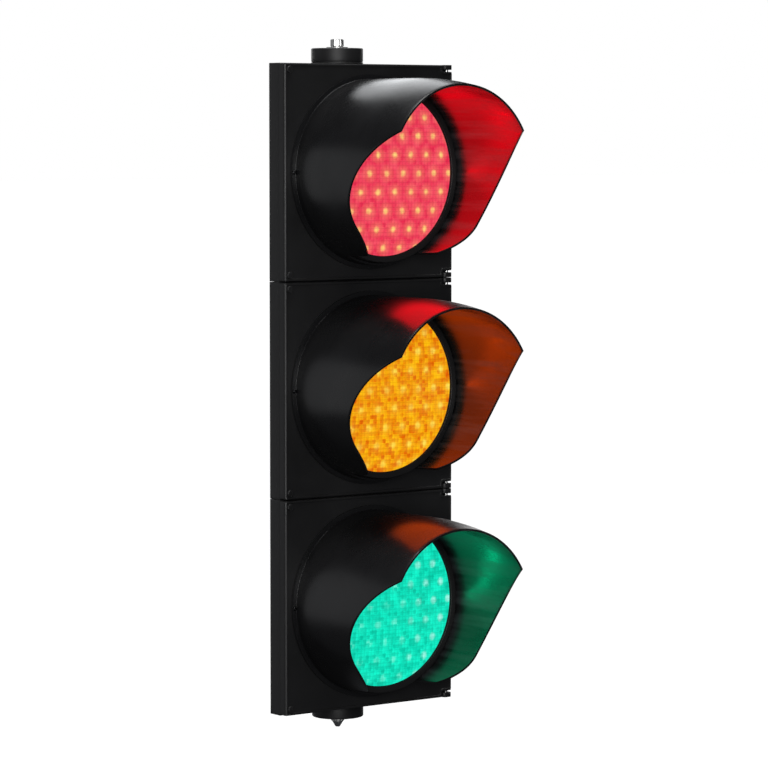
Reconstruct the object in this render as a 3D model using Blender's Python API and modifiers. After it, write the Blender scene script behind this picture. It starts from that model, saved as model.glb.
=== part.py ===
"""Three-section vehicle signal head: polycarbonate housings, hinged doors, cutaway visors and LED modules.

Metres, +Z up, the lenses face -Y and +X is to the right of someone who faces them. The origin is on the
axis of the mounting caps, at the face of the top cap. Run with: blender --background --python part.py
"""

import math

import bmesh
import bpy
from mathutils import Matrix, Vector

MM = 0.001

# Overall sizes; the width and the height of a section follow from these
SECTION_NAMES = ("red", "amber", "green")
APERTURE_R = 92.8 * MM  # light opening
COLLAR_LIP_WIDTH = 7.2 * MM  # light opening to the outside of the collar
COLLAR_SIDE_ROOM = 0.05 * MM  # collar to the side of the housing's opening
COLLAR_END_ROOM = 3.4 * MM  # collar to the top and bottom of the housing's opening
LAND_WIDTH = 16.6 * MM  # sealing land around the front opening
HOUSING_DEPTH = 106.0 * MM  # door front to housing back
AXIS_SETBACK = 62.0 * MM  # door front to the axis of the mounting caps

# Fits
PLAY = 0.3 * MM  # between pieces that touch
DOOR_GAP = 2.0 * MM  # between two doors, one above the other

# Door
DOOR_DEPTH = 10.0 * MM
BEAD_WIDTH = 2.5 * MM  # raised border of the door's front
BEAD_HEIGHT = 0.8 * MM
PANEL_WALL = 3.0 * MM
DOOR_CORNER_R = 3.0 * MM
COLLAR_WALL = 2.5 * MM
COLLAR_PROUD = 29.0 * MM
COLLAR_LIP = 2.0 * MM

# Hinge
KNUCKLE_R = 6.0 * MM
PIN_R = 2.0 * MM
PIN_GRIP = 12.0 * MM  # length of pin inside the door
LUG_HEIGHT = 5.4 * MM
LUG_CORNER_R = 3.5 * MM
LUG_SLOT = 2.5 * MM  # open slot between lug and door

# Housing
WALL = 3.0 * MM
RIM_DEPTH = 31.0 * MM  # door front to the back of the housing's full-width rim
RIM_STEP = 10.6 * MM
RIM_CORNER_R = 3.0 * MM
BACK_WIDTH = 104.0 * MM
BACK_CORNER_R = 8.0 * MM
PORT_R = 20.3 * MM  # wiring port in each end wall

# Door seal
SEAL_WIDTH = 4.0 * MM
SEAL_MARGIN = 1.3 * MM  # land left inside the seal
SEAL_CORNER_R = 5.0 * MM

# Latches
LATCH_HEAD_R = 3.9 * MM
LATCH_HEAD_HEIGHT = 2.7 * MM
LATCH_SHANK_R = 2.2 * MM
LATCH_SOCKET_R = 4.4 * MM
LATCH_KEY = (6.4 * MM, 2.4 * MM, 3.0 * MM)  # long, thick and deep
LATCH_REACH = 7.0 * MM  # beyond the back of the door
LATCH_SLOT = (1.2 * MM, 1.0 * MM)  # wide and deep

# Visor
VISOR_LENGTH = 167.0 * MM
VISOR_WALL = 2.4 * MM
VISOR_FIT = 0.6 * MM  # between the sleeve and the collar
VISOR_DROOP = 7.0 * MM  # how much the front rim draws in
DROOP_START = 85.0 * MM
VISOR_FLANGE = 5.0 * MM
HOOD_ANGLE = 61.5  # degrees from the top that keep the full length
SKIRT_ANGLE = 125.0
SKIRT_REACH = 86.0 * MM
LOWER_SWEEP = 0.036 * MM  # per square degree
OPENING_ANGLE = 152.0
SLEEVE_REACH = 20.0 * MM
SCREW_HEAD_R = 2.3 * MM
SCREW_HEAD_HEIGHT = 1.6 * MM
SCREW_SHANK_R = 1.3 * MM

# LED module
GASKET_THICKNESS = 1.5 * MM
LENS_WALL = 2.5 * MM
LENS_CROWN = 8.0 * MM
MODULE_FLANGE = 3.0 * MM
MODULE_FLANGE_WIDTH = 8.7 * MM
MODULE_WALL = 2.5 * MM
MODULE_STRAIGHT = 27.0 * MM  # flange to the start of the cone
MODULE_CONE = 26.0 * MM
MODULE_BACK_R = 62.0 * MM
RING_DEPTH = 5.0 * MM
BOARD_THICKNESS = 1.6 * MM
BOARD_SETBACK = 20.0 * MM  # behind the module's flange

# Mounting caps, their bolts and the couplers between sections
CAP_R = 29.2 * MM
CAP_HEIGHT = 18.0 * MM
CAP_WALL = 4.0 * MM
CAP_CHAMFER = 1.0 * MM
SPOT_DEPTH = 0.8 * MM  # sunk seat for the washer
SPOT_MARGIN = 1.0 * MM
SPIGOT_WALL = 3.0 * MM
BOLT_R = 4.0 * MM
HEX_FLATS = 13.0 * MM
BOLT_HEAD_HEIGHT = 8.5 * MM
NUT_HEIGHT = 6.5 * MM
NUT_CONE = 6.5 * MM
THREAD_END = 2.0 * MM
WASHER_R = 12.5 * MM
WASHER_THICKNESS = 1.8 * MM
CLAMP_R = 27.0 * MM
CLAMP_THICKNESS = 4.0 * MM
COUPLER_WALL = 3.5 * MM
COUPLER_FLANGE_R = 27.0 * MM
COUPLER_FLANGE = 3.0 * MM
LOCKNUT_HEIGHT = 6.0 * MM

# Terminal block
BLOCK_SIZE = (70.0 * MM, 14.0 * MM, 22.0 * MM)
BLOCK_WAYS = 6
WAY_SIZE = (7.0 * MM, 5.0 * MM)

# Facets
ROUND = 32
MEDIUM_ROUND = 24
SMALL_ROUND = 12
ARC_STEPS = 3
OVERCUT = 1.0 * MM  # how far a cutter passes a face that it goes through

# Sizes that follow
COLLAR_R = APERTURE_R + COLLAR_LIP_WIDTH
OPENING_HALF_WIDTH = COLLAR_R + COLLAR_SIDE_ROOM
OPENING_HALF_HEIGHT = COLLAR_R + COLLAR_END_ROOM
HALF_WIDTH = OPENING_HALF_WIDTH + LAND_WIDTH
PITCH = 2 * (OPENING_HALF_HEIGHT + LAND_WIDTH)  # height of one section
FRONT_Y = -AXIS_SETBACK
DOOR_HEIGHT = PITCH - DOOR_GAP
SHELL_HEIGHT = PITCH - 2 * PLAY
SHELL_FRONT = DOOR_DEPTH + PLAY
LAND_BACK = SHELL_FRONT + WALL
HINGE_X = HALF_WIDTH - KNUCKLE_R
HINGE_Y = DOOR_DEPTH - KNUCKLE_R
PIN_HOLE_R = PIN_R + PLAY
NOTCH_WIDTH = 2 * KNUCKLE_R + 2.0 * MM
NOTCH_HEIGHT = LUG_HEIGHT + LUG_SLOT
POCKET_FRONT = BEAD_HEIGHT + PANEL_WALL
LATCH_X = -HALF_WIDTH + BEAD_WIDTH + LATCH_HEAD_R + PLAY
LATCH_Z = DOOR_HEIGHT / 2 - BEAD_WIDTH - LATCH_HEAD_R - PLAY
SEAL_INNER = (OPENING_HALF_WIDTH + SEAL_MARGIN, OPENING_HALF_HEIGHT + SEAL_MARGIN)
SEAL_OUTER = (SEAL_INNER[0] + SEAL_WIDTH, SEAL_INNER[1] + SEAL_WIDTH)
VISOR_R = COLLAR_R + VISOR_FIT + VISOR_WALL
FLANGE_FRONT = VISOR_WALL + PLAY - BEAD_HEIGHT
SCREW_X = VISOR_R + VISOR_FLANGE / 2
MODULE_BORE = COLLAR_R - COLLAR_WALL - PLAY
MODULE_R = MODULE_BORE - MODULE_FLANGE_WIDTH
GASKET_FRONT = COLLAR_PROUD - COLLAR_LIP - PLAY
LENS_FRONT = GASKET_FRONT - GASKET_THICKNESS - PLAY
MODULE_FRONT = LENS_FRONT - LENS_WALL - PLAY
RING_FRONT = MODULE_FRONT - MODULE_FLANGE - PLAY
STACK_TOP = -CAP_HEIGHT
STACK_BOTTOM = STACK_TOP - PITCH * len(SECTION_NAMES)
CAP_SEAT = CAP_HEIGHT - SPOT_DEPTH
CLAMP_BACK = -2 * PLAY - WALL - CLAMP_THICKNESS


# Basic shapes

def collection_of(name):
    """A new collection in the scene."""
    found = bpy.data.collections.new(name)
    bpy.context.scene.collection.children.link(found)
    return found


def object_of(mesh, name="work"):
    """A loose object in the cutters' collection, hidden from renders."""
    made = bpy.data.objects.new(name, mesh)
    bpy.data.collections["cutters"].objects.link(made)
    made.hide_render = True
    made.display_type = "WIRE"
    return made


def mesh_from(work):
    """A mesh from a bmesh, which is freed."""
    mesh = bpy.data.meshes.new("shape")
    work.to_mesh(mesh)
    work.free()
    return mesh


def finished(source, merge=0.0):
    """The evaluated mesh of an object, faces outwards, with the object removed."""
    bpy.context.view_layer.update()
    graph = bpy.context.evaluated_depsgraph_get()
    mesh = bpy.data.meshes.new_from_object(source.evaluated_get(graph))
    bpy.data.objects.remove(source)
    work = bmesh.new()
    work.from_mesh(mesh)
    if merge:
        bmesh.ops.remove_doubles(work, verts=work.verts, dist=merge)
    bmesh.ops.recalc_face_normals(work, faces=work.faces)
    work.to_mesh(mesh)
    work.free()
    return mesh


def block(low, high):
    """A box between two corners."""
    low, high = Vector(low), Vector(high)
    size = Matrix.Diagonal((*(high - low), 1.0))
    work = bmesh.new()
    bmesh.ops.create_cube(work, size=1.0, matrix=Matrix.Translation((low + high) / 2) @ size)
    return mesh_from(work)


def rod(radius, start, end, segments=SMALL_ROUND):
    """A round bar from one point to another."""
    start, end = Vector(start), Vector(end)
    turn = (end - start).to_track_quat("Z", "Y").to_matrix().to_4x4()
    work = bmesh.new()
    bmesh.ops.create_cone(
        work, cap_ends=True, segments=segments, radius1=radius, radius2=radius,
        depth=(end - start).length, matrix=Matrix.Translation((start + end) / 2) @ turn)
    return mesh_from(work)


def turned(profile, closed, steps=ROUND):
    """A profile of (radius, height) points turned about Z. An open one starts and ends on the axis."""
    mesh = bpy.data.meshes.new("profile")
    count = len(profile)
    edges = [(i, i + 1) for i in range(count - 1)]
    if closed:
        edges.append((count - 1, 0))
    mesh.from_pydata([(radius, 0.0, height) for radius, height in profile], edges, [])
    source = object_of(mesh)
    screw = source.modifiers.new("turn", "SCREW")
    screw.steps = screw.render_steps = steps
    screw.use_merge_vertices = True
    screw.merge_threshold = 0.01 * MM
    return finished(source, merge=0.01 * MM)


def prism(outline, low, high):
    """A flat outline of (x, y) points raised from z = low to z = high."""
    return ring_prism([outline], low, high)


def ring_prism(outlines, low, high):
    """A flat outline with its holes raised from z = low to z = high."""
    curve = bpy.data.curves.new("outline", "CURVE")
    curve.dimensions = "2D"
    curve.fill_mode = "BOTH"
    curve.extrude = (high - low) / 2
    for outline in outlines:
        spline = curve.splines.new("POLY")
        spline.points.add(len(outline) - 1)
        for point, (x, y) in zip(spline.points, outline):
            point.co = (x, y, 0.0, 1.0)
        spline.use_cyclic_u = True
    mesh = finished(object_of(curve), merge=0.01 * MM)
    mesh.transform(Matrix.Translation((0.0, 0.0, (low + high) / 2)))
    return mesh


def rounded(corners, steps=ARC_STEPS):
    """A closed outline from (x, y, radius) corners, each turned into an arc."""
    outline = []
    count = len(corners)
    for i, (x, y, radius) in enumerate(corners):
        here = Vector((x, y))
        if radius == 0.0:
            outline.append((x, y))
            continue
        before = (Vector(corners[i - 1][:2]) - here).normalized()
        after = (Vector(corners[(i + 1) % count][:2]) - here).normalized()
        half = before.angle(after) / 2
        centre = here + (before + after).normalized() * radius / math.sin(half)
        first = here + before * radius / math.tan(half) - centre
        last = here + after * radius / math.tan(half) - centre
        sweep = first.angle_signed(last)
        for step in range(steps + 1):
            outline.append(tuple(centre + Matrix.Rotation(-sweep * step / steps, 2) @ first))
    return outline


def inset(corners, distance):
    """The corners of an anticlockwise outline moved inwards by one distance on every side."""
    points = [Vector(corner[:2]) for corner in corners]
    moved = []
    for i, here in enumerate(points):
        before = (here - points[i - 1]).normalized()
        after = (points[(i + 1) % len(points)] - here).normalized()
        lean = (before.orthogonal() + after.orthogonal()) / (1.0 + before.dot(after))
        radius = max(corners[i][2] - distance, 0.0)
        moved.append((*(here + lean * distance), radius))
    return moved


def joined(operation, base, others):
    """A mesh with others added to it or cut from it by an exact Boolean."""
    target = object_of(base)
    tools = [object_of(other) for other in others]
    for tool in tools:
        change = target.modifiers.new(operation, "BOOLEAN")
        change.operation = operation
        change.solver = "EXACT"
        change.object = tool
    mesh = finished(target, merge=0.001 * MM)
    for tool in tools:
        bpy.data.objects.remove(tool)
    return mesh


def union(base, *others):
    return joined("UNION", base, others)


def cut(base, *others):
    return joined("DIFFERENCE", base, others)


def hexagon(flats):
    """Six corners of a hexagon, given its width across flats."""
    radius = flats / math.sqrt(3)
    return [(radius * math.cos(math.radians(a)), radius * math.sin(math.radians(a))) for a in range(0, 360, 60)]


# Housing

def housing_mesh():
    """A tapered tub, open at the front inside a sealing land, with hinge lugs on its right edge."""
    shoulder = HALF_WIDTH - RIM_STEP
    right = [
        (HALF_WIDTH, SHELL_FRONT, 0.0),
        (HALF_WIDTH, RIM_DEPTH, RIM_CORNER_R),
        (shoulder, RIM_DEPTH, 0.0),
        (BACK_WIDTH / 2, HOUSING_DEPTH, BACK_CORNER_R),
    ]
    corners = right + [(-x, y, radius) for x, y, radius in reversed(right)]
    inner = inset(corners, WALL)
    half = SHELL_HEIGHT / 2
    shell = prism(rounded(corners), -half, half)
    cavity = prism(rounded(inner), -half + WALL, half - WALL)
    mouth = block(
        (-OPENING_HALF_WIDTH, SHELL_FRONT - OVERCUT, -OPENING_HALF_HEIGHT),
        (OPENING_HALF_WIDTH, LAND_BACK + OVERCUT, OPENING_HALF_HEIGHT))
    port = rod(PORT_R, (0, AXIS_SETBACK, -half - OVERCUT), (0, AXIS_SETBACK, half + OVERCUT), MEDIUM_ROUND)
    sockets = [
        rod(LATCH_SOCKET_R, (LATCH_X, SHELL_FRONT - OVERCUT, side * LATCH_Z),
            (LATCH_X, LAND_BACK + OVERCUT, side * LATCH_Z))
        for side in (-1, 1)]
    shell = cut(shell, cavity, mouth, port, *sockets)
    lug_corners = [
        (HINGE_X - KNUCKLE_R, 0.0, LUG_CORNER_R), (HINGE_X + KNUCKLE_R, 0.0, LUG_CORNER_R),
        (HINGE_X + KNUCKLE_R, LAND_BACK, 0.0), (HINGE_X - KNUCKLE_R, LAND_BACK, 0.0)]
    lug = rounded(lug_corners)
    lugs = [prism(lug, half - LUG_HEIGHT, half), prism(lug, -half, -half + LUG_HEIGHT)]
    shell = union(shell, *lugs)
    pin_hole = rod(PIN_HOLE_R, (HINGE_X, HINGE_Y, -half - OVERCUT), (HINGE_X, HINGE_Y, half + OVERCUT))
    return cut(shell, pin_hole)


# Door

def door_outline():
    """Plan of the door: rounded front corner on the left, and an arc about the hinge on the right."""
    start = -math.asin(HINGE_Y / KNUCKLE_R)
    steps = 2 * ARC_STEPS
    angles = [start + (math.pi / 2 - start) * step / steps for step in range(steps + 1)]
    knuckle = [
        (HINGE_X + KNUCKLE_R * math.cos(a), HINGE_Y + KNUCKLE_R * math.sin(a)) for a in angles]
    left = rounded([
        (-HALF_WIDTH, DOOR_DEPTH, 0.0), (-HALF_WIDTH, 0.0, DOOR_CORNER_R), (0.0, 0.0, 0.0)])
    return left[:-1] + knuckle


def door_mesh():
    """A shallow pan with a raised border and the round collar that holds the LED module."""
    half = DOOR_HEIGHT / 2
    blank = prism(door_outline(), -half, half)
    recess = block(
        (-HALF_WIDTH + BEAD_WIDTH, -OVERCUT, -half + BEAD_WIDTH),
        (HALF_WIDTH - BEAD_WIDTH, BEAD_HEIGHT, half - BEAD_WIDTH))
    pocket = block(
        (-HALF_WIDTH + WALL, POCKET_FRONT, -half + WALL),
        (OPENING_HALF_WIDTH + WALL / 2, DOOR_DEPTH + OVERCUT, half - WALL))
    seal_way = block(
        (0.0, POCKET_FRONT, -SEAL_OUTER[1] - PLAY),
        (SEAL_OUTER[0] + PLAY, DOOR_DEPTH + OVERCUT, SEAL_OUTER[1] + PLAY))
    notches = [
        block((HALF_WIDTH - NOTCH_WIDTH, -OVERCUT, low), (HALF_WIDTH + OVERCUT, DOOR_DEPTH + OVERCUT, high))
        for low, high in (
            (PITCH / 2 - NOTCH_HEIGHT, PITCH / 2), (-PITCH / 2, -PITCH / 2 + NOTCH_HEIGHT))]
    bore = rod(
        COLLAR_R - COLLAR_WALL / 2, (0, -OVERCUT, 0), (0, DOOR_DEPTH + OVERCUT, 0), ROUND)
    latch_holes = [
        rod(LATCH_SHANK_R + PLAY, (LATCH_X, 0, side * LATCH_Z), (LATCH_X, DOOR_DEPTH, side * LATCH_Z))
        for side in (-1, 1)]
    screw_holes = [
        rod(SCREW_SHANK_R + PLAY, (side * SCREW_X, 0, 0), (side * SCREW_X, POCKET_FRONT + OVERCUT, 0))
        for side in (-1, 1)]
    deepest = PITCH / 2 - NOTCH_HEIGHT - PIN_GRIP - PLAY
    pin_holes = [
        rod(PIN_HOLE_R, (HINGE_X, HINGE_Y, side * deepest), (HINGE_X, HINGE_Y, side * PITCH / 2))
        for side in (-1, 1)]
    pan = cut(blank, recess, pocket, seal_way, *notches, bore, *latch_holes, *screw_holes, *pin_holes)
    inner = COLLAR_R - COLLAR_WALL
    back = PLAY - DOOR_DEPTH
    collar = turned([
        (COLLAR_R, COLLAR_PROUD), (COLLAR_R, back), (inner, back), (inner, COLLAR_PROUD - COLLAR_LIP),
        (APERTURE_R, COLLAR_PROUD - COLLAR_LIP), (APERTURE_R, COLLAR_PROUD)], closed=True)
    collar.transform(Matrix.Rotation(math.pi / 2, 4, "X"))
    return union(pan, collar)


def seal_mesh():
    """The rubber frame between the door and the housing's land."""
    def frame(half_width, half_height, radius):
        return rounded([
            (-half_width, -half_height, radius), (half_width, -half_height, radius),
            (half_width, half_height, radius), (-half_width, half_height, radius)])
    outlines = [
        frame(*SEAL_OUTER, SEAL_CORNER_R),
        frame(*SEAL_INNER, SEAL_CORNER_R - SEAL_WIDTH)]
    mesh = ring_prism(outlines, -DOOR_DEPTH, -POCKET_FRONT - PLAY)
    mesh.transform(Matrix.Rotation(math.pi / 2, 4, "X"))
    return mesh


def hinge_pin_mesh():
    """A plain pin, from the outer face of its lug at z = 0 down into the door."""
    length = NOTCH_HEIGHT + PIN_GRIP
    return rod(PIN_R, (0, 0, -length), (0, 0, -2 * PLAY))


def latch_mesh():
    """A quarter-turn latch: slotted head, shank and cross key, about its own axis."""
    long, thick, deep = LATCH_KEY
    slot_width, slot_depth = LATCH_SLOT
    head_back = BEAD_HEIGHT - PLAY
    head_front = head_back - LATCH_HEAD_HEIGHT
    end = DOOR_DEPTH + LATCH_REACH
    head = rod(LATCH_HEAD_R, (0, head_front, 0), (0, head_back, 0))
    shank = rod(LATCH_SHANK_R, (0, head_back - OVERCUT, 0), (0, end, 0))
    key = block((-long / 2, end - deep, -thick / 2), (long / 2, end + PLAY, thick / 2))
    slot = block(
        (-slot_width / 2, head_front - OVERCUT, -2 * LATCH_HEAD_R),
        (slot_width / 2, head_front + slot_depth, 2 * LATCH_HEAD_R))
    return cut(union(head, shank, key), slot)


# Visor

def visor_reach(angle):
    """How far in front of the door the visor's edge lies, at an angle in degrees from its top."""
    angle = abs(angle)
    if angle <= HOOD_ANGLE:
        return VISOR_LENGTH
    if angle <= SKIRT_ANGLE:
        left = 1.0 - (angle - HOOD_ANGLE) / (SKIRT_ANGLE - HOOD_ANGLE)
        return SKIRT_REACH + (VISOR_LENGTH - SKIRT_REACH) * left ** 2
    if angle <= OPENING_ANGLE:
        return SKIRT_REACH - LOWER_SWEEP * (angle - SKIRT_ANGLE) ** 2
    return SLEEVE_REACH


def visor_radius(reach):
    """The visor's outer radius at a distance in front of the door."""
    drawn = max(0.0, (reach - DROOP_START) / (VISOR_LENGTH - DROOP_START))
    return VISOR_R - VISOR_DROOP * drawn ** 2


def visor_angles():
    """Angles of the visor's columns, once round, with one on each corner of its edge."""
    stops = ((0.0, HOOD_ANGLE, 7), (HOOD_ANGLE, SKIRT_ANGLE, 7), (SKIRT_ANGLE, OPENING_ANGLE, 3),
             (OPENING_ANGLE + 2.0, 180.0, 3))
    right = [low + (high - low) * step / steps for low, high, steps in stops for step in range(steps)]
    right += [OPENING_ANGLE, 180.0]
    right.sort()
    return right + [-angle for angle in reversed(right[1:-1])]


def visor_mesh():
    """A sleeve over the collar with a foot flange, cut back at the sides and open below."""
    rows = 5
    work = bmesh.new()
    columns = []
    for angle in visor_angles():
        reach = visor_reach(angle)
        path = [(VISOR_R + VISOR_FLANGE, FLANGE_FRONT)]
        for row in range(rows + 1):
            along = FLANGE_FRONT + (reach - FLANGE_FRONT) * row / rows
            path.append((visor_radius(along), along))
        turn = math.radians(angle)
        columns.append([
            work.verts.new((r * math.sin(turn), -along, r * math.cos(turn))) for r, along in path])
    for this, following in zip(columns, columns[1:] + columns[:1]):
        for row in range(rows + 1):
            work.faces.new((this[row], following[row], following[row + 1], this[row + 1]))
    bmesh.ops.recalc_face_normals(work, faces=work.faces)
    top = min(work.faces, key=lambda face: (face.calc_center_median() - Vector((0, -0.05, VISOR_R))).length)
    if top.normal.z < 0:
        bmesh.ops.reverse_faces(work, faces=work.faces)
    source = object_of(mesh_from(work))
    wall = source.modifiers.new("wall", "SOLIDIFY")
    wall.thickness = VISOR_WALL
    wall.offset = -1.0
    wall.use_even_offset = True
    sleeve = finished(source)
    holes = [
        rod(SCREW_SHANK_R + PLAY, (side * SCREW_X, -2 * FLANGE_FRONT, 0), (side * SCREW_X, FLANGE_FRONT, 0))
        for side in (-1, 1)]
    return cut(sleeve, *holes)


def visor_screw_mesh():
    """A pan-head screw through the visor's flange into the door, about its own axis."""
    seat = -FLANGE_FRONT - PLAY
    head = rod(SCREW_HEAD_R, (0, seat - SCREW_HEAD_HEIGHT, 0), (0, seat, 0))
    shank = rod(SCREW_SHANK_R, (0, seat - OVERCUT, 0), (0, POCKET_FRONT - PLAY, 0))
    return union(head, shank)


# LED module, turned about the lens axis with heights towards the front

def lens_mesh():
    """A shallow domed lens with a flat rim."""
    steps = 3
    front = []
    radius = APERTURE_R - 2 * PLAY
    for step in range(steps + 1):
        r = radius * step / steps
        front.append((r, LENS_FRONT + LENS_CROWN * (1.0 - (r / radius) ** 2)))
    back = [(r, height - LENS_WALL) for r, height in reversed(front)]
    rim = [(MODULE_BORE, LENS_FRONT), (MODULE_BORE, LENS_FRONT - LENS_WALL)]
    return turned(front + rim + back, closed=False)


def gasket_mesh():
    return flat_ring(APERTURE_R, MODULE_BORE, GASKET_FRONT, GASKET_THICKNESS)


def retaining_ring_mesh():
    return flat_ring(MODULE_R + PLAY, MODULE_BORE, RING_FRONT, RING_DEPTH)


def flat_ring(inner, outer, front, depth, steps=ROUND):
    """A ring of rectangular section."""
    section = [(outer, front), (outer, front - depth), (inner, front - depth), (inner, front)]
    return turned(section, closed=True, steps=steps)


def module_case_mesh():
    """The module's cup: a flange, a straight wall, a cone and a flat back."""
    inner = MODULE_R - MODULE_WALL
    flange_back = MODULE_FRONT - MODULE_FLANGE
    knee = flange_back - MODULE_STRAIGHT
    back = knee - MODULE_CONE
    return turned([
        (0.0, back + MODULE_WALL), (MODULE_BACK_R - MODULE_WALL / 2, back + MODULE_WALL), (inner, knee),
        (inner, MODULE_FRONT), (MODULE_BORE, MODULE_FRONT), (MODULE_BORE, flange_back),
        (MODULE_R, flange_back), (MODULE_R, knee), (MODULE_BACK_R, back), (0.0, back)], closed=False)


def led_board_mesh():
    """The round board that carries the LEDs."""
    front = MODULE_FRONT - BOARD_SETBACK
    radius = MODULE_R - MODULE_WALL - PLAY
    return turned([
        (0.0, front), (radius, front), (radius, front - BOARD_THICKNESS),
        (0.0, front - BOARD_THICKNESS)], closed=False)


# Mounting caps and couplers, turned about the cap axis; z = 0 is the plane that they close

def cap_mesh():
    """A hollow round cap above z = 0, with a spigot below it that centres it in the port."""
    spigot = PORT_R - PLAY
    spot = WASHER_R + SPOT_MARGIN
    return turned([
        (BOLT_R + PLAY, CAP_SEAT), (spot, CAP_SEAT), (spot, CAP_HEIGHT),
        (CAP_R - CAP_CHAMFER, CAP_HEIGHT), (CAP_R, CAP_HEIGHT - CAP_CHAMFER),
        (CAP_R, 0.0), (spigot, 0.0), (spigot, -WALL), (spigot - SPIGOT_WALL, -WALL),
        (spigot - SPIGOT_WALL, CAP_HEIGHT - CAP_WALL), (BOLT_R + PLAY, CAP_HEIGHT - CAP_WALL)],
        closed=True, steps=MEDIUM_ROUND)


def washer_mesh():
    """A flat washer on a cap's face."""
    bottom = CAP_SEAT + PLAY
    return flat_ring(BOLT_R + PLAY, WASHER_R, bottom + WASHER_THICKNESS, WASHER_THICKNESS, MEDIUM_ROUND)


def clamp_plate_mesh():
    """The round plate inside the end wall that the bolt pulls up."""
    top = -2 * PLAY - WALL
    return flat_ring(BOLT_R + PLAY, CLAMP_R, top, CLAMP_THICKNESS, MEDIUM_ROUND)


def top_bolt_mesh():
    """A hexagon bolt from above the washer to below the nut."""
    seat = CAP_SEAT + 2 * PLAY + WASHER_THICKNESS
    head = prism(hexagon(HEX_FLATS), seat, seat + BOLT_HEAD_HEIGHT)
    end = CLAMP_BACK - PLAY - NUT_HEIGHT - THREAD_END
    shank = rod(BOLT_R, (0, 0, end), (0, 0, seat + OVERCUT))
    return union(head, shank)


def top_nut_mesh():
    """The plain nut under the clamp plate."""
    top = CLAMP_BACK - PLAY
    nut = prism(hexagon(HEX_FLATS), top - NUT_HEIGHT, top)
    return cut(nut, rod(BOLT_R + PLAY, (0, 0, top - NUT_HEIGHT - OVERCUT), (0, 0, top + OVERCUT)))


def bottom_bolt_mesh():
    """A hexagon bolt whose head is behind the clamp plate and whose thread ends inside the cap nut."""
    seat = CLAMP_BACK - PLAY
    head = prism(hexagon(HEX_FLATS), seat - BOLT_HEAD_HEIGHT, seat)
    shank = rod(BOLT_R, (0, 0, seat - OVERCUT), (0, 0, CAP_SEAT + NUT_HEIGHT))
    return union(head, shank)


def cap_nut_mesh():
    """A closed nut: a hexagon with a cone on it, bored from below."""
    base = CAP_SEAT + PLAY
    top = base + NUT_HEIGHT
    sides = prism(hexagon(HEX_FLATS), base, top)
    cone = turned([
        (0.0, top + NUT_CONE), (BOLT_R / 2, top + NUT_CONE), (HEX_FLATS / 2, top - OVERCUT / 2),
        (0.0, top - OVERCUT / 2)], closed=False, steps=MEDIUM_ROUND)
    bore = rod(BOLT_R + PLAY, (0, 0, base - OVERCUT), (0, 0, top + 2 * PLAY))
    return cut(union(sides, cone), bore)


def coupler_mesh():
    """A flanged sleeve through two end walls; z = 0 is the seam between the sections."""
    outer = PORT_R - PLAY
    inner = outer - COUPLER_WALL
    flange_low = 2 * PLAY + WALL
    flange_top = flange_low + COUPLER_FLANGE
    end = -flange_low - LOCKNUT_HEIGHT - THREAD_END
    return turned([
        (inner, flange_top), (COUPLER_FLANGE_R, flange_top), (COUPLER_FLANGE_R, flange_low),
        (outer, flange_low), (outer, end), (inner, end)], closed=True, steps=MEDIUM_ROUND)


def coupler_nut_mesh():
    """The hexagon locknut on the coupler's lower end."""
    top = -2 * PLAY - WALL
    nut = prism(hexagon(2 * COUPLER_FLANGE_R), top - LOCKNUT_HEIGHT, top)
    return cut(nut, rod(PORT_R, (0, 0, top - LOCKNUT_HEIGHT - OVERCUT), (0, 0, top + OVERCUT), MEDIUM_ROUND))


def terminal_block_mesh():
    """A block with a row of wire ways in its front, on the back wall of the housing."""
    length, depth, height = BLOCK_SIZE
    way_width, way_depth = WAY_SIZE
    back = HOUSING_DEPTH - WALL - PLAY
    base = block((-length / 2, back - depth, -height / 2), (length / 2, back, height / 2))
    spacing = length / BLOCK_WAYS
    ways = []
    for way in range(BLOCK_WAYS):
        centre = (way - (BLOCK_WAYS - 1) / 2) * spacing
        ways.append(block(
            (centre - way_width / 2, back - depth - OVERCUT, -height),
            (centre + way_width / 2, back - depth + way_depth, height)))
    return cut(base, *ways)


# Looks: colour, roughness, metallic

BLACK_PLASTIC = ((0.013, 0.013, 0.014), 0.42, 0.0)
BLACK_VISOR = ((0.011, 0.011, 0.012), 0.36, 0.0)
RUBBER = ((0.02, 0.02, 0.02), 0.85, 0.0)
STEEL = ((0.62, 0.62, 0.60), 0.28, 1.0)
GREY_NYLON = ((0.20, 0.20, 0.21), 0.55, 0.0)
CIRCUIT_BOARD = ((0.02, 0.10, 0.05), 0.5, 0.0)
CREAM_PLASTIC = ((0.72, 0.69, 0.60), 0.5, 0.0)
LENS_LOOKS = {
    "red": ((0.86, 0.03, 0.10), 0.18, 0.0),
    "amber": ((1.0, 0.38, 0.01), 0.18, 0.0),
    "green": ((0.01, 0.80, 0.45), 0.18, 0.0),
}


def material_for(name, look):
    """A Principled material of the piece's own."""
    colour, roughness, metallic = look
    made = bpy.data.materials.new(name)
    made.use_nodes = True
    shader = made.node_tree.nodes["Principled BSDF"]
    shader.inputs["Base Color"].default_value = (*colour, 1.0)
    shader.inputs["Roughness"].default_value = roughness
    shader.inputs["Metallic"].default_value = metallic
    return made


def add_empty(name, location, parent=None):
    """An empty that carries the pieces of one section or one door."""
    made = bpy.data.objects.new(name, None)
    made.empty_display_size = 20 * MM
    made.location = location
    made.parent = parent
    bpy.data.collections["traffic_signal_head"].objects.link(made)
    return made


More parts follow.
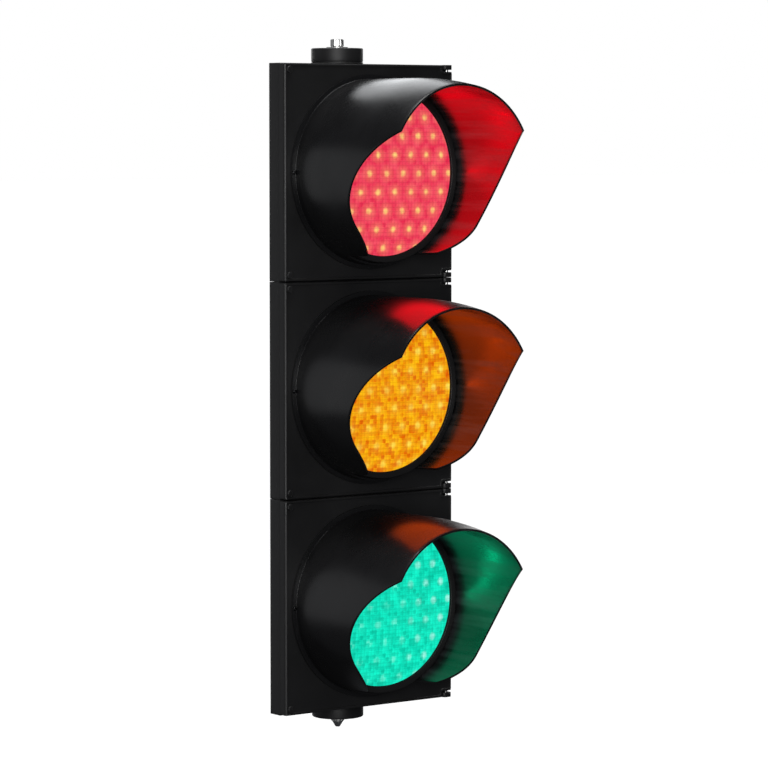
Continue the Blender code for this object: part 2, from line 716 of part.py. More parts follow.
def add_piece(name, mesh, look, location=(0, 0, 0), rotation=(0, 0, 0), parent=None):
    """One piece of the signal head, with its own material."""
    own = mesh.copy()
    own.name = name
    own.materials.clear()
    own.materials.append(material_for(name, look))
    own.shade_smooth()
    own.set_sharp_from_angle(angle=math.radians(35))
    made = bpy.data.objects.new(name, own)
    made.location = location
    made.rotation_euler = rotation
    made.parent = parent
    bpy.data.collections["traffic_signal_head"].objects.link(made)
    return made


def add_section(colour, index, meshes):
    """One section: the fixed housing, and the door with all that swings with it."""
    centre = STACK_TOP - PITCH * (index + 0.5)
    section = add_empty(f"{colour}_section", (0.0, FRONT_Y, centre))
    hinge = add_empty(f"{colour}_door_hinge", (HINGE_X, HINGE_Y, 0.0), section)
    to_axis = Vector((-HINGE_X, -HINGE_Y, 0.0))
    forward = (math.pi / 2, 0.0, 0.0)
    add_piece(f"{colour}_housing", meshes["housing"], BLACK_PLASTIC, parent=section)
    end = PITCH / 2
    add_piece(f"{colour}_hinge_pin_upper", meshes["hinge_pin"], STEEL, (HINGE_X, HINGE_Y, end), parent=section)
    add_piece(f"{colour}_hinge_pin_lower", meshes["hinge_pin"], STEEL, (HINGE_X, HINGE_Y, -end),
              (math.pi, 0.0, 0.0), section)
    add_piece(f"{colour}_door", meshes["door"], BLACK_PLASTIC, to_axis, parent=hinge)
    add_piece(f"{colour}_door_seal", meshes["seal"], RUBBER, to_axis, parent=hinge)
    for side, height in (("upper", LATCH_Z), ("lower", -LATCH_Z)):
        add_piece(f"{colour}_latch_{side}", meshes["latch"], GREY_NYLON,
                  to_axis + Vector((LATCH_X, 0.0, height)), parent=hinge)
    add_piece(f"{colour}_visor", meshes["visor"], BLACK_VISOR, to_axis, parent=hinge)
    for side, place in (("left", -SCREW_X), ("right", SCREW_X)):
        add_piece(f"{colour}_visor_screw_{side}", meshes["visor_screw"], STEEL,
                  to_axis + Vector((place, 0.0, 0.0)), parent=hinge)
    add_piece(f"{colour}_lens", meshes["lens"], LENS_LOOKS[colour], to_axis, forward, hinge)
    add_piece(f"{colour}_lens_gasket", meshes["gasket"], RUBBER, to_axis, forward, hinge)
    add_piece(f"{colour}_module_case", meshes["module_case"], GREY_NYLON, to_axis, forward, hinge)
    add_piece(f"{colour}_retaining_ring", meshes["retaining_ring"], BLACK_PLASTIC, to_axis, forward, hinge)
    add_piece(f"{colour}_led_board", meshes["led_board"], CIRCUIT_BOARD, to_axis, forward, hinge)


def add_end(end, height, rotation, pieces):
    """The cap on one end of the stack, with its bolt, nut and clamp plate."""
    place = add_empty(f"{end}_end", (0.0, 0.0, height))
    place.rotation_euler = rotation
    for name, mesh, look in pieces:
        add_piece(f"{end}_{name}", mesh, look, parent=place)


def main():
    for old in list(bpy.data.objects):
        bpy.data.objects.remove(old)
    collection_of("traffic_signal_head")
    collection_of("cutters")
    meshes = {
        "housing": housing_mesh(), "door": door_mesh(), "seal": seal_mesh(),
        "hinge_pin": hinge_pin_mesh(), "latch": latch_mesh(), "visor": visor_mesh(),
        "visor_screw": visor_screw_mesh(), "lens": lens_mesh(), "gasket": gasket_mesh(),
        "module_case": module_case_mesh(), "retaining_ring": retaining_ring_mesh(),
        "led_board": led_board_mesh(),
    }
    for index, colour in enumerate(SECTION_NAMES):
        add_section(colour, index, meshes)
    cap, plate = cap_mesh(), clamp_plate_mesh()
    add_end("top", STACK_TOP, (0.0, 0.0, 0.0), (
        ("cap", cap, BLACK_PLASTIC), ("washer", washer_mesh(), STEEL), ("clamp_plate", plate, STEEL),
        ("bolt", top_bolt_mesh(), STEEL), ("nut", top_nut_mesh(), STEEL)))
    add_end("bottom", STACK_BOTTOM, (math.pi, 0.0, 0.0), (
        ("cap", cap, BLACK_PLASTIC), ("clamp_plate", plate, STEEL),
        ("bolt", bottom_bolt_mesh(), STEEL), ("cap_nut", cap_nut_mesh(), STEEL)))
    coupler, coupler_nut = coupler_mesh(), coupler_nut_mesh()
    for index in range(1, len(SECTION_NAMES)):
        seam = STACK_TOP - PITCH * index
        label = f"{SECTION_NAMES[index - 1]}_{SECTION_NAMES[index]}"
        add_piece(f"{label}_coupler", coupler, GREY_NYLON, (0.0, 0.0, seam))
        add_piece(f"{label}_coupler_nut", coupler_nut, GREY_NYLON, (0.0, 0.0, seam))
    middle = STACK_TOP - PITCH * 1.5
    add_piece("terminal_block", terminal_block_mesh(), CREAM_PLASTIC, (0.0, FRONT_Y, middle))


main()
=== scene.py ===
"""Fine surfaces, finishes and a studio for a three-section signal head, built round its packed frame."""

import math

import bmesh
import bpy
import numpy as np
from bpy.props import FloatProperty, FloatVectorProperty, PointerProperty
from bpy.types import Operator, Panel, PropertyGroup
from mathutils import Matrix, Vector


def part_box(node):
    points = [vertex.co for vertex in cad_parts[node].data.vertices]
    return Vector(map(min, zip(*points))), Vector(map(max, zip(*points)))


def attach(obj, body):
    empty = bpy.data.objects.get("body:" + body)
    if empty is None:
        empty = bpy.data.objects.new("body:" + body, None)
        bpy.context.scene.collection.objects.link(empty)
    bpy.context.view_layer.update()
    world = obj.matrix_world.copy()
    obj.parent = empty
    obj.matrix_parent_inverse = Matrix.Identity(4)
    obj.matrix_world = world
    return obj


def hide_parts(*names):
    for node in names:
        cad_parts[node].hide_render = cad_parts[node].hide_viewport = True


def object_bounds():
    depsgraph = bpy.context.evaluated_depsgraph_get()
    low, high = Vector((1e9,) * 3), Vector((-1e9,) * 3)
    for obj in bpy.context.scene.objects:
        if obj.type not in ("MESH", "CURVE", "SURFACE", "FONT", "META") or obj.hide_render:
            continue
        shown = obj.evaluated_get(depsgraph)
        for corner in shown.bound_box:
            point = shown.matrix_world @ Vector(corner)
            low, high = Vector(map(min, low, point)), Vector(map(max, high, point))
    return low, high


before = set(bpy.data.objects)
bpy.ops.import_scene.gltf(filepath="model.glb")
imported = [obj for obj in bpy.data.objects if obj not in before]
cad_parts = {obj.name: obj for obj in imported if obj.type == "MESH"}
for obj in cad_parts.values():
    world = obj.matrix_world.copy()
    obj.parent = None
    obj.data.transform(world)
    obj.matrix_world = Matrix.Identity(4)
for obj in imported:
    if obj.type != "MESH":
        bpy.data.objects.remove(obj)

bl_info = {
    "name": "Signal Head Looks",
    "version": (1, 0, 0),
    "blender": (4, 5, 0),
    "location": "View3D > Sidebar > Signal Head",
    "description": "Builds the fine surfaces and the finishes of a three-section signal head",
    "category": "Object",
}

MM = 0.001
COLOURS = ("red", "amber", "green")
CAD_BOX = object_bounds()


def corners_of(node):
    """The lowest and the highest corner of a CAD node."""
    return tuple(np.array(corner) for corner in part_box(node))


# Sizes read from the frame
SHELL_LOW, SHELL_HIGH = corners_of("red_housing")
DOOR_LOW, DOOR_HIGH = corners_of("red_door")
CASE_LOW, CASE_HIGH = corners_of("red_module_case")
FRONT_Y = SHELL_LOW[1]  # the doors' front plane
HALF_WIDTH = SHELL_HIGH[0]
HOUSING_DEPTH = SHELL_HIGH[1] - FRONT_Y
SHELL_HALF = (SHELL_HIGH[2] - SHELL_LOW[2]) / 2
DOOR_HALF = (DOOR_HIGH[2] - DOOR_LOW[2]) / 2
DOOR_DEPTH = DOOR_HIGH[1] - FRONT_Y
COLLAR_PROUD = FRONT_Y - DOOR_LOW[1]
VISOR_LENGTH = FRONT_Y - corners_of("red_visor")[0][1]
CAP_RADIUS = corners_of("top_cap")[1][0]
PLAY = 0.3 * MM

# Sizes of the latch sockets, bolts, caps and couplers
LATCH_SOCKET = 4.4 * MM
BOLT_RADIUS = 4.0 * MM
BOLT_HOLE = 4.3 * MM
BOLT_FLATS = 13.0 * MM
BOLT_HEAD = 8.5 * MM
CAP_HEIGHT = 18.0 * MM
COUPLER_SLEEVE = 20.0 * MM
COUPLER_BORE = 16.5 * MM
LOCKNUT_FLATS = 54.0 * MM
LOCKNUT_BORE = 20.3 * MM

LAND_STEPS = 7  # grid lines across the housing's front land
FLOW_HEIGHT = 0.5 * MM  # depth of the moulding waves inside a visor

# For each lens: how strong an LED's halo is, and its middle, how much the middle grows to the right, its
# radius, and how much the prisms vary
LENS_LOOKS = {
    "red": (0.42, 0.80, 0.10, 2.5 * MM, 0.42),
    "amber": (0.24, 0.46, 0.34, 2.8 * MM, 0.66),
    "green": (0.04, 0.10, 0.76, 3.0 * MM, 0.58),
}

AIM = (0.069, 0.066, -0.003)  # the middle lens's place to the point that the camera looks at
FLOOR_REACH = 90.0  # metres
DIM_GREY = (0.045, 0.046, 0.05)  # what reflections see where no light is

# The light that each lens throws into its visor
GLOW_HUES = {"red": (1.0, 0.0, 0.008), "amber": (1.0, 0.075, 0.0), "green": (0.0, 1.0, 0.42)}


# Sizes and colours that a user would change

def length(name, description, millimetres):
    """A length property with its default given in millimetres."""
    return FloatProperty(
        name=name, description=description, default=millimetres * MM, min=0.0,
        precision=5, subtype="DISTANCE", unit="LENGTH")


def colour(name, description, default):
    """A linear RGB colour property."""
    return FloatVectorProperty(
        name=name, description=description, default=default, size=3, min=0.0, max=1.0, subtype="COLOR")


class HousingSizes(PropertyGroup):
    """Sizes of the housings"""
    wall: length("Wall", "Thickness of the housing's walls", 3.0)
    rim_depth: length("Rim depth", "Door front to the back of the full-width rim", 31.0)
    rim_step: length("Rim step", "How far the body stands in from the rim", 10.6)
    rim_corner: length("Rim corner", "Radius of the rim's back corners", 3.0)
    back_width: length("Back width", "Width of the flat back", 104.0)
    back_corner: length("Back corner", "Radius of the back corners", 8.0)
    opening_width: length("Opening half width", "Axis to the side of the front opening", 100.05)
    opening_height: length("Opening half height", "Axis to the end of the front opening", 103.4)
    port: length("Wiring port", "Radius of the port in each end wall", 20.3)
    lug_height: length("Lug height", "Height of a hinge lug", 5.4)
    lug_corner: length("Lug corner", "Radius of a hinge lug's front corners", 3.5)
    knuckle: length("Knuckle", "Outer radius of the hinge", 6.0)
    edge: length("Edge", "Rounding of the housing's edges", 0.7)


class DoorSizes(PropertyGroup):
    """Sizes of the doors, their seals and their latches"""
    bead_width: length("Bead width", "Width of the raised border", 2.5)
    bead_height: length("Bead height", "Height of the raised border", 0.8)
    wall: length("Wall", "Thickness of the door's panel and sides", 3.0)
    notch_width: length("Notch width", "Width of the cut-out round a hinge lug", 14.0)
    notch_height: length("Notch height", "Height of the cut-out round a hinge lug", 6.9)
    aperture: length("Aperture", "Radius of the light opening", 92.8)
    collar: length("Collar", "Outer radius of the collar", 100.0)
    collar_wall: length("Collar wall", "Thickness of the collar", 2.5)
    collar_lip: length("Collar lip", "Thickness of the lip in front of the lens", 2.0)
    seal_width: length("Seal width", "Width of the door seal", 4.0)
    latch_head: length("Latch head", "Radius of a latch's head", 3.9)


class VisorSizes(PropertyGroup):
    """Sizes of the visors"""
    radius: length("Radius", "Outer radius of the visor's sleeve", 103.0)
    wall: length("Wall", "Thickness of the visor", 2.4)
    flange: length("Flange", "Width of the foot flange", 5.0)
    flange_front: length("Flange front", "Door front to the face of the foot flange", 1.9)
    droop: length("Droop", "How far the front rim draws in", 7.0)
    droop_start: length("Droop start", "Door front to where the rim begins to draw in", 85.0)
    skirt_reach: length("Skirt reach", "Door front to the edge of the side skirts", 86.0)
    sleeve_reach: length("Sleeve reach", "Door front to the edge below the opening", 20.0)
    lower_sweep: length("Lower sweep", "How fast the skirt draws back, per square degree", 0.036)
    hood_angle: FloatProperty(
        name="Hood angle", description="Degrees from the top that keep the full length", default=61.5)
    skirt_angle: FloatProperty(
        name="Skirt angle", description="Degrees from the top to the end of the side sweep", default=125.0)
    opening_angle: FloatProperty(
        name="Opening angle", description="Degrees from the top to the edge of the opening", default=152.0)


class LensSizes(PropertyGroup):
    """Sizes and colours of the lenses"""
    wall: length("Wall", "Thickness of the lens", 2.5)
    crown: length("Crown", "How far the middle of the lens stands out of its rim", 8.0)
    spacing: length("LED spacing", "Distance between two LEDs in one row", 23.0)
    row: length("LED row", "Distance between two rows of LEDs", 20.6)
    prism: length("Prism", "Width of one prism of the lens pattern", 4.6)
    prism_height: length("Prism height", "Height of one prism of the lens pattern", 0.35)
    red_face: colour("Red face", "Lit red between the LEDs", (0.90, 0.085, 0.130))
    red_deep: colour("Red shade", "Lit red in the darker prisms", (0.78, 0.022, 0.075))
    red_spark: colour("Red spark", "Middle of a red LED", (1.0, 0.66, 0.20))
    amber_face: colour("Amber face", "Lit amber between the LEDs", (0.98, 0.50, 0.004))
    amber_deep: colour("Amber shade", "Lit amber in the darker prisms", (0.76, 0.12, 0.001))
    amber_spark: colour("Amber spark", "Middle of an amber LED", (1.0, 0.80, 0.11))
    green_face: colour("Green face", "Lit green between the LEDs", (0.006, 0.92, 0.61))
    green_deep: colour("Green shade", "Lit green in the darker prisms", (0.001, 0.56, 0.37))
    green_spark: colour("Green spark", "Middle of a green LED", (0.40, 0.92, 0.82))


class FinishLooks(PropertyGroup):
    """Colours and grain of the finishes"""
    housing: colour("Housing", "Black plastic of housings and doors", (0.0095, 0.0095, 0.0100))
    visor: colour("Visor", "Black plastic of the visors", (0.0066, 0.0066, 0.0072))
    dust: colour("Dust", "Dust that settles on upward faces", (0.05, 0.05, 0.048))
    steel: colour("Steel", "Zinc-plated steel", (0.56, 0.56, 0.55))
    black_steel: colour("Black steel", "Blackened steel of the visor screws", (0.035, 0.035, 0.037))
    nylon: colour("Nylon", "Grey nylon", (0.16, 0.16, 0.17))
    cream: colour("Cream", "Plastic of the terminal block", (0.66, 0.62, 0.52))
    board: colour("Board", "Solder mask of the LED boards", (0.012, 0.085, 0.04))
    grain: length("Grain", "Width of the moulded grain", 0.8)


class StageLooks(PropertyGroup):
    """Floor, camera and lights"""
    floor: colour("Floor", "Pale floor and backdrop", (0.93, 0.93, 0.93))
    floor_drop: FloatProperty(
        name="Floor drop", description="Floor below the head's lowest point", default=0.75, unit="LENGTH")
    azimuth: FloatProperty(
        name="Azimuth", description="Camera's turn from straight in front, in degrees", default=-37.0)
    elevation: FloatProperty(
        name="Elevation", description="Camera's rise above the level, in degrees", default=4.06)
    distance: FloatProperty(
        name="Distance", description="Camera to the point that it looks at", default=4.0, unit="LENGTH")
    focal: FloatProperty(name="Focal length", description="On a sensor 36 mm wide", default=164.0)
    glow: FloatVectorProperty(
        name="Glow", description="Power of the red, amber and green light inside the visors, in watts",
        default=(0.44, 0.165, 0.072), size=3)
    row_share: FloatVectorProperty(
        name="Row share", description="What the middle row of LEDs adds to each glow, as a share of it",
        default=(0.08, 0.12, 0.34), size=3)


# Shapes

def quads(rows, columns, wrap_rows, wrap_columns):
    """Corner numbers of a grid's faces: a point, its neighbour in the row and the two in the next row."""
    row = np.arange(rows if wrap_rows else rows - 1)
    column = np.arange(columns if wrap_columns else columns - 1)
    row, column = (part.ravel() for part in np.meshgrid(row, column, indexing="ij"))
    next_row, next_column = (row + 1) % rows, (column + 1) % columns
    return np.stack([
        row * columns + column, row * columns + next_column,
        next_row * columns + next_column, next_row * columns + column], axis=1)


def mesh_of(patches, name="patches"):
    """Joins grids of points, each with its wraps in rows and columns, into one mesh that faces outwards."""
    points, faces, start = [], [], 0
    for grid, wrap_rows, wrap_columns in patches:
        rows, columns = grid.shape[:2]
        points.append(grid.reshape(-1, 3))
        faces.append(quads(rows, columns, wrap_rows, wrap_columns) + start)
        start += rows * columns
    mesh = bpy.data.meshes.new(name)
    mesh.from_pydata(np.concatenate(points).tolist(), [], np.concatenate(faces).tolist())
    work = bmesh.new()
    work.from_mesh(mesh)
    bmesh.ops.remove_doubles(work, verts=work.verts, dist=0.004 * MM)
    bmesh.ops.dissolve_degenerate(work, edges=work.edges, dist=0.001 * MM)
    bmesh.ops.recalc_face_normals(work, faces=work.faces)
    middle = sum((face.calc_center_median() for face in work.faces), Vector()) / len(work.faces)
    outward = sum(
        face.calc_area() * face.normal.dot(face.calc_center_median() - middle) for face in work.faces)
    if outward < 0:
        bmesh.ops.reverse_faces(work, faces=work.faces)
    work.to_mesh(mesh)
    work.free()
    return mesh


def new_object(name, data):
    """A new object in the scene."""
    made = bpy.data.objects.new(name, data)
    bpy.context.scene.collection.objects.link(made)
    return made


def finished(mesh, wall=0.0, edge=0.0, steps=2, limit=40.0):
    """A mesh after a wall grown inwards and edges rounded, if asked for, with the modifiers applied."""
    source = new_object("source", mesh)
    if wall:
        solidify = source.modifiers.new("wall", "SOLIDIFY")
        solidify.thickness = wall
        solidify.offset = -1.0
        solidify.use_even_offset = True
    if edge:
        bevel = source.modifiers.new("edges", "BEVEL")
        bevel.width = edge
        bevel.segments = steps
        bevel.limit_method = "ANGLE"
        bevel.angle_limit = math.radians(limit)
    graph = bpy.context.evaluated_depsgraph_get()
    made = bpy.data.meshes.new_from_object(source.evaluated_get(graph))
    bpy.data.objects.remove(source)
    return made


def joined(*meshes):
    """Several closed meshes as one."""
    work = bmesh.new()
    for mesh in meshes:
        work.from_mesh(mesh)
    made = bpy.data.meshes.new("joined")
    work.to_mesh(made)
    work.free()
    return made


def add_piece(name, mesh, body, material, replaces=(), sharp=32.0):
    """One finished piece: smooth shading with sharp edges, its material, its body and what it stands for."""
    mesh.name = name
    mesh.shade_smooth()
    mesh.set_sharp_from_angle(angle=math.radians(sharp))
    mesh.materials.clear()
    mesh.materials.append(material)
    made = new_object(name, mesh)
    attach(made, body)
    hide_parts(*replaces)
    return made


def add_to_sections(piece, mesh, node, finish, body="{}_door_assembly"):
    """The same piece at the place of each section, standing for that section's own node."""
    for name in COLOURS:
        add_piece(
            f"{name}_{piece}", moved(mesh, *place_of(name)), body.format(name), finish_of(finish),
            [f"{name}_{node}"])


def add_to_stack(name, mesh, finish, node):
    """A piece of the housing stack that stands for a CAD node."""
    add_piece(name, mesh, "housing_stack", finish_of(finish), [node])


def moved(mesh, x=0.0, y=0.0, z=0.0):
    """A copy of a mesh, moved."""
    copy = mesh.copy()
    points = np.empty(len(copy.vertices) * 3)
    copy.vertices.foreach_get("co", points)
    copy.vertices.foreach_set("co", (points.reshape(-1, 3) + (x, y, z)).ravel())
    copy.update()
    return copy


def softened(corners, steps=4):
    """An open profile of (a, b, radius) corners, each corner turned into an arc tangent to both sides."""
    path = [np.array([corners[0][:2]])]
    for before, here, after in zip(corners, corners[1:], corners[2:]):
        point = np.array(here[:2])
        radius = here[2] if len(here) > 2 else 0.0
        back, ahead = np.array(before[:2]) - point, np.array(after[:2]) - point
        back, ahead = back / np.linalg.norm(back), ahead / np.linalg.norm(ahead)
        half = math.acos(np.clip(back @ ahead, -1.0, 1.0)) / 2
        if radius == 0.0 or half > math.radians(89.5):
            path.append(point[None])
            continue
        middle = (back + ahead) / np.linalg.norm(back + ahead)
        centre = point + middle * radius / math.sin(half)
        first = point + back * radius / math.tan(half) - centre
        last = point + ahead * radius / math.tan(half) - centre
        sweep = math.pi - 2 * half
        share = np.linspace(0.0, 1.0, steps + 1)[:, None]
        bend = np.sin((1 - share) * sweep) * first + np.sin(share * sweep) * last
        path.append(centre + bend / math.sin(sweep))
    path.append(np.array([corners[-1][:2]]))
    return np.concatenate(path)


def full_turn(steps):
    """Angles spaced evenly round a circle, from 0."""
    return np.linspace(0.0, 2 * np.pi, steps, endpoint=False)


def turned(profile, steps=128, closed=False):
    """A grid of (radius, height) points turned about Z: (r cos a, r sin a, h)."""
    angle = full_turn(steps)
    radius, height = profile[:, :1], profile[:, 1:]
    grid = np.stack(np.broadcast_arrays(radius * np.cos(angle), radius * np.sin(angle), height), axis=-1)
    return grid, closed, True


def forward(patch, place):
    """A patch turned about Z, now turned about the lens axis at a place, with heights towards the front."""
    grid, wrap_rows, wrap_columns = patch
    x, y, z = place
    made = np.stack([grid[..., 0] + x, y - grid[..., 2], grid[..., 1] + z], axis=-1)
    return made, wrap_rows, wrap_columns


def upright(patch, place, sign=1.0):
    """A patch turned about Z, put at a place, upside down where sign is -1."""
    grid, wrap_rows, wrap_columns = patch
    return grid * (1.0, 1.0, sign) + np.array(place), wrap_rows, wrap_columns


def prism(outline, low, high, axis=2):
    """A closed outline carried from low to high along an axis, with both ends closed to its middle."""
    middle = outline.mean(axis=0)
    rings = [(middle + 0 * outline, low), (outline, low), (outline, high), (middle + 0 * outline, high)]
    grid = np.stack([np.insert(ring, axis, height, axis=1) for ring, height in rings])
    return grid, False, True


def brick(low, high):
    """A box between two corners."""
    outline = np.array([(low[0], low[1]), (high[0], low[1]), (high[0], high[1]), (low[0], high[1])])
    return prism(outline, low[2], high[2])


def rows_round(angle, rows):
    """A grid with one row of points about Z for each (radius at every angle, height)."""
    return np.stack([np.stack([r * np.cos(angle), r * np.sin(angle), 0 * angle + h], 1) for r, h in rows])


def hexagon(flats, low, high, chamfer):
    """A hexagonal bar whose radius follows its sides, cut at both ends by a 30 degree cone."""
    angle = full_turn(72)
    side = flats / 2 / np.cos((angle + np.pi / 6) % (np.pi / 3) - np.pi / 6)
    cut = np.minimum(side, flats / 2)
    rows = [
        (0 * angle, low), (cut, low), (side, low + chamfer), (side, high - chamfer), (cut, high),
        (0 * angle, high)]
    return rows_round(angle, rows), False, True


def button(radius, height, edge, recess, rings=30, steps=96):
    """A round head: height over the radius, less the edge's quarter circle and a recess(x, y)."""
    share = np.linspace(0.0, 1.0, rings)[:, None]
    angle = full_turn(steps)[None]
    r = radius * share * np.ones_like(angle)
    x, y = r * np.cos(angle), r * np.sin(angle)
    over = np.clip(r - (radius - edge), 0.0, edge)
    top = height - edge + np.sqrt(np.maximum(edge ** 2 - over ** 2, 0.0)) - recess(x, y)
    skirt = np.stack([x[-1:], y[-1:], 0 * x[-1:]], axis=-1)
    grid = np.concatenate([np.stack([x, y, top], axis=-1), skirt, 0 * skirt])
    return grid, False, True


def smooth(value, low, high):
    """0 below low, 1 above high and 3t^2 - 2t^3 between them."""
    share = np.clip((value - low) / (high - low), 0.0, 1.0)
    return share * share * (3.0 - 2.0 * share)


def place_of(name):
    """Where a section's lens axis crosses the front plane of its door."""
    low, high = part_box(f"{name}_housing")
    return np.array([0.0, FRONT_Y, (low.z + high.z) / 2])


# Materials

def add_node(tree, kind, settings=None, **inputs):
    """Adds a node. A socket given for an input is linked to it, and a plain value is set on it."""
    made = tree.nodes.new(kind)
    for key, value in (settings or {}).items():
        setattr(made, key, value)
    for key, value in inputs.items():
        socket = made.inputs[int(key[1:])] if key[1:].isdigit() else made.inputs[key.replace("_", " ")]
        if isinstance(value, bpy.types.NodeSocket):
            tree.links.new(value, socket)
        else:
            socket.default_value = value
    return made


def math_node(tree, operation, first, second=0.0, third=0.0, clamp=False):
    """The result of a Math node."""
    settings = {"operation": operation, "use_clamp": clamp}
    return add_node(tree, "ShaderNodeMath", settings, i0=first, i1=second, i2=third).outputs[0]


def mixed(tree, factor, first, second, blend="MIX"):
    """The result of a colour Mix node."""
    made = add_node(tree, "ShaderNodeMix", {"data_type": "RGBA", "blend_type": blend}, i0=factor)
    for socket, value in ((made.inputs[6], first), (made.inputs[7], second)):
        if isinstance(value, bpy.types.NodeSocket):
            tree.links.new(value, socket)
        else:
            socket.default_value = (*value[:3], 1.0)
    return made.outputs[2]


def spread(tree, value, low, high, to_low, to_high):
    """A Map Range from one range to another, clamped."""
    return add_node(
        tree, "ShaderNodeMapRange", None, Value=value, From_Min=low, From_Max=high, To_Min=to_low,
        To_Max=to_high).outputs[0]


def noise(tree, vector, scale, detail=3.0, roughness=0.5):
    """The value of a Noise texture."""
    made = add_node(
        tree, "ShaderNodeTexNoise", None, Vector=vector, Scale=scale, Detail=detail, Roughness=roughness)
    return made.outputs[0]


def new_material(name):
    """An empty material, with its Principled shader and its object coordinates."""
    made = bpy.data.materials.new(name)
    made.use_nodes = True
    tree = made.node_tree
    tree.nodes.clear()
    shader = tree.nodes.new("ShaderNodeBsdfPrincipled")
    output = tree.nodes.new("ShaderNodeOutputMaterial")
    tree.links.new(shader.outputs[0], output.inputs[0])
    coordinates = tree.nodes.new("ShaderNodeTexCoord")
    return made, tree, shader, coordinates


def stretched(tree, vector, scale):
    """Coordinates scaled by three factors."""
    return add_node(tree, "ShaderNodeMapping", None, Vector=vector, Scale=scale).outputs[0]


def feed(tree, shader, **values):
    """Joins values to the shader's inputs, named with _ for a space."""
    for key, value in values.items():
        tree.links.new(value, shader.inputs[key.replace("_", " ")])


def bumped(tree, shader, height, strength, distance):
    """Joins a Bump node to the shader's normal."""
    made = add_node(tree, "ShaderNodeBump", None, Height=height, Strength=strength, Distance=distance)
    tree.links.new(made.outputs[0], shader.inputs["Normal"])


def moulded_plastic(name, base, roughness, grain=0.8 * MM, depth=0.05 * MM, dust=0.2, with_waves_and_painted_reflection=False):
    """Moulded plastic: fine grain, uneven gloss, faint handling scuffs, and dust on faces that look up."""
    made, tree, shader, coordinates = new_material(name)
    looks = bpy.context.scene.finish_looks
    here = coordinates.outputs["Object"]
    fine = noise(tree, here, 1.0 / grain, 2.0, 0.6)
    broad = noise(tree, here, 14.0, 4.0, 0.55)
    scuffs = noise(tree, stretched(tree, here, (260.0, 260.0, 22.0)), 1.0, 3.0, 0.7)
    scuffed = spread(tree, scuffs, 0.64, 0.74, 0.0, 1.0)
    gloss = spread(tree, broad, 0.3, 0.7, roughness - 0.05, roughness + 0.07)
    gloss = math_node(tree, "MULTIPLY_ADD", scuffed, 0.10, gloss)
    gloss = math_node(tree, "MULTIPLY_ADD", fine, 0.08, gloss, clamp=True)
    up = add_node(tree, "ShaderNodeSeparateXYZ", None, i0=coordinates.outputs["Normal"]).outputs[2]
    settled = spread(tree, up, 0.35, 0.95, 0.0, dust)
    settled = math_node(tree, "MULTIPLY", settled, spread(tree, broad, 0.35, 0.65, 0.3, 1.0))
    tone = spread(tree, broad, 0.3, 0.7, 0.0, 1.0)
    body = mixed(tree, tone, [c * 0.86 for c in base], [c * 1.16 for c in base])
    height = fine
    # On a visor: moulding waves as bumps, glossier streaks, and paler streaks in the colour that are painted
    # reflection of the lens light
    if with_waves_and_painted_reflection:
        waves, reflection_streaks = flow_marks(tree, here, coordinates)
        height = math_node(tree, "MULTIPLY_ADD", waves, FLOW_HEIGHT / depth, fine)
        gloss = math_node(tree, "MULTIPLY_ADD", reflection_streaks, 0.16, gloss, clamp=True)
        # Paler colour in the streaks: painted reflection bands of the lens light on the visor's inside
        body = mixed(tree, reflection_streaks, body, [c * 6.0 for c in base])
    feed(tree, shader, Base_Color=mixed(tree, settled, body, tuple(looks.dust)), Roughness=gloss)
    bumped(tree, shader, height, 0.5, depth)
    return made


def flow_marks(tree, here, coordinates):
    """Shallow moulding waves, and paler streaks that are painted reflection of the lens light, along a visor
    where it faces its axis, and none outside.
    """
    split = add_node(tree, "ShaderNodeSeparateXYZ", None, i0=here)
    pitch = place_of("red")[2] - place_of("amber")[2]
    height = math_node(tree, "ADD", split.outputs[2], -place_of("amber")[2])
    height = math_node(tree, "WRAP", height, pitch / 2, -pitch / 2)
    outward = add_node(tree, "ShaderNodeCombineXYZ", None, i0=split.outputs[0], i1=0.0, i2=height).outputs[0]
    facing = add_node(
        tree, "ShaderNodeVectorMath", {"operation": "DOT_PRODUCT"}, i0=outward,
        i1=coordinates.outputs["Normal"]).outputs["Value"]
    inner = math_node(tree, "LESS_THAN", facing, -20 * MM)
    waves = noise(tree, stretched(tree, here, (44.0, 4.0, 44.0)), 1.0, 3.0, 0.55)
    reflection_streaks = noise(tree, stretched(tree, here, (70.0, 5.0, 70.0)), 1.0, 4.0, 0.6)
    reflection_streaks = spread(tree, reflection_streaks, 0.44, 0.66, 0.0, 1.0)
    return math_node(tree, "MULTIPLY", waves, inner), math_node(tree, "MULTIPLY", reflection_streaks, inner)


def rubber(name):
    """Matt black rubber with fine grain."""
    made, tree, shader, coordinates = new_material(name)
    here = coordinates.outputs["Object"]
    fine = noise(tree, here, 900.0, 3.0)
    base = mixed(tree, noise(tree, here, 40.0), (0.012, 0.012, 0.012), (0.030, 0.029, 0.028))
    feed(tree, shader, Base_Color=base, Roughness=spread(tree, fine, 0.3, 0.7, 0.78, 0.92))
    bumped(tree, shader, fine, 0.5, 0.1 * MM)
    return made


def plated_steel(name, base):
    """Zinc-plated steel: spangled brightness, fine turning marks and dulled patches."""
    made, tree, shader, coordinates = new_material(name)
    here = coordinates.outputs["Object"]
    shader.inputs["Metallic"].default_value = 1.0
    marks = noise(tree, stretched(tree, here, (300.0, 300.0, 4000.0)), 1.0, 2.0)
    patches = noise(tree, here, 160.0, 5.0, 0.65)
    tone = mixed(tree, patches, [c * 0.72 for c in base], [min(c * 1.25, 1.0) for c in base])
    gloss = math_node(tree, "MULTIPLY_ADD", marks, 0.12, spread(tree, patches, 0.3, 0.7, 0.16, 0.34))
    feed(tree, shader, Base_Color=tone, Roughness=gloss)
    bumped(tree, shader, marks, 0.25, 0.02 * MM)
    return made


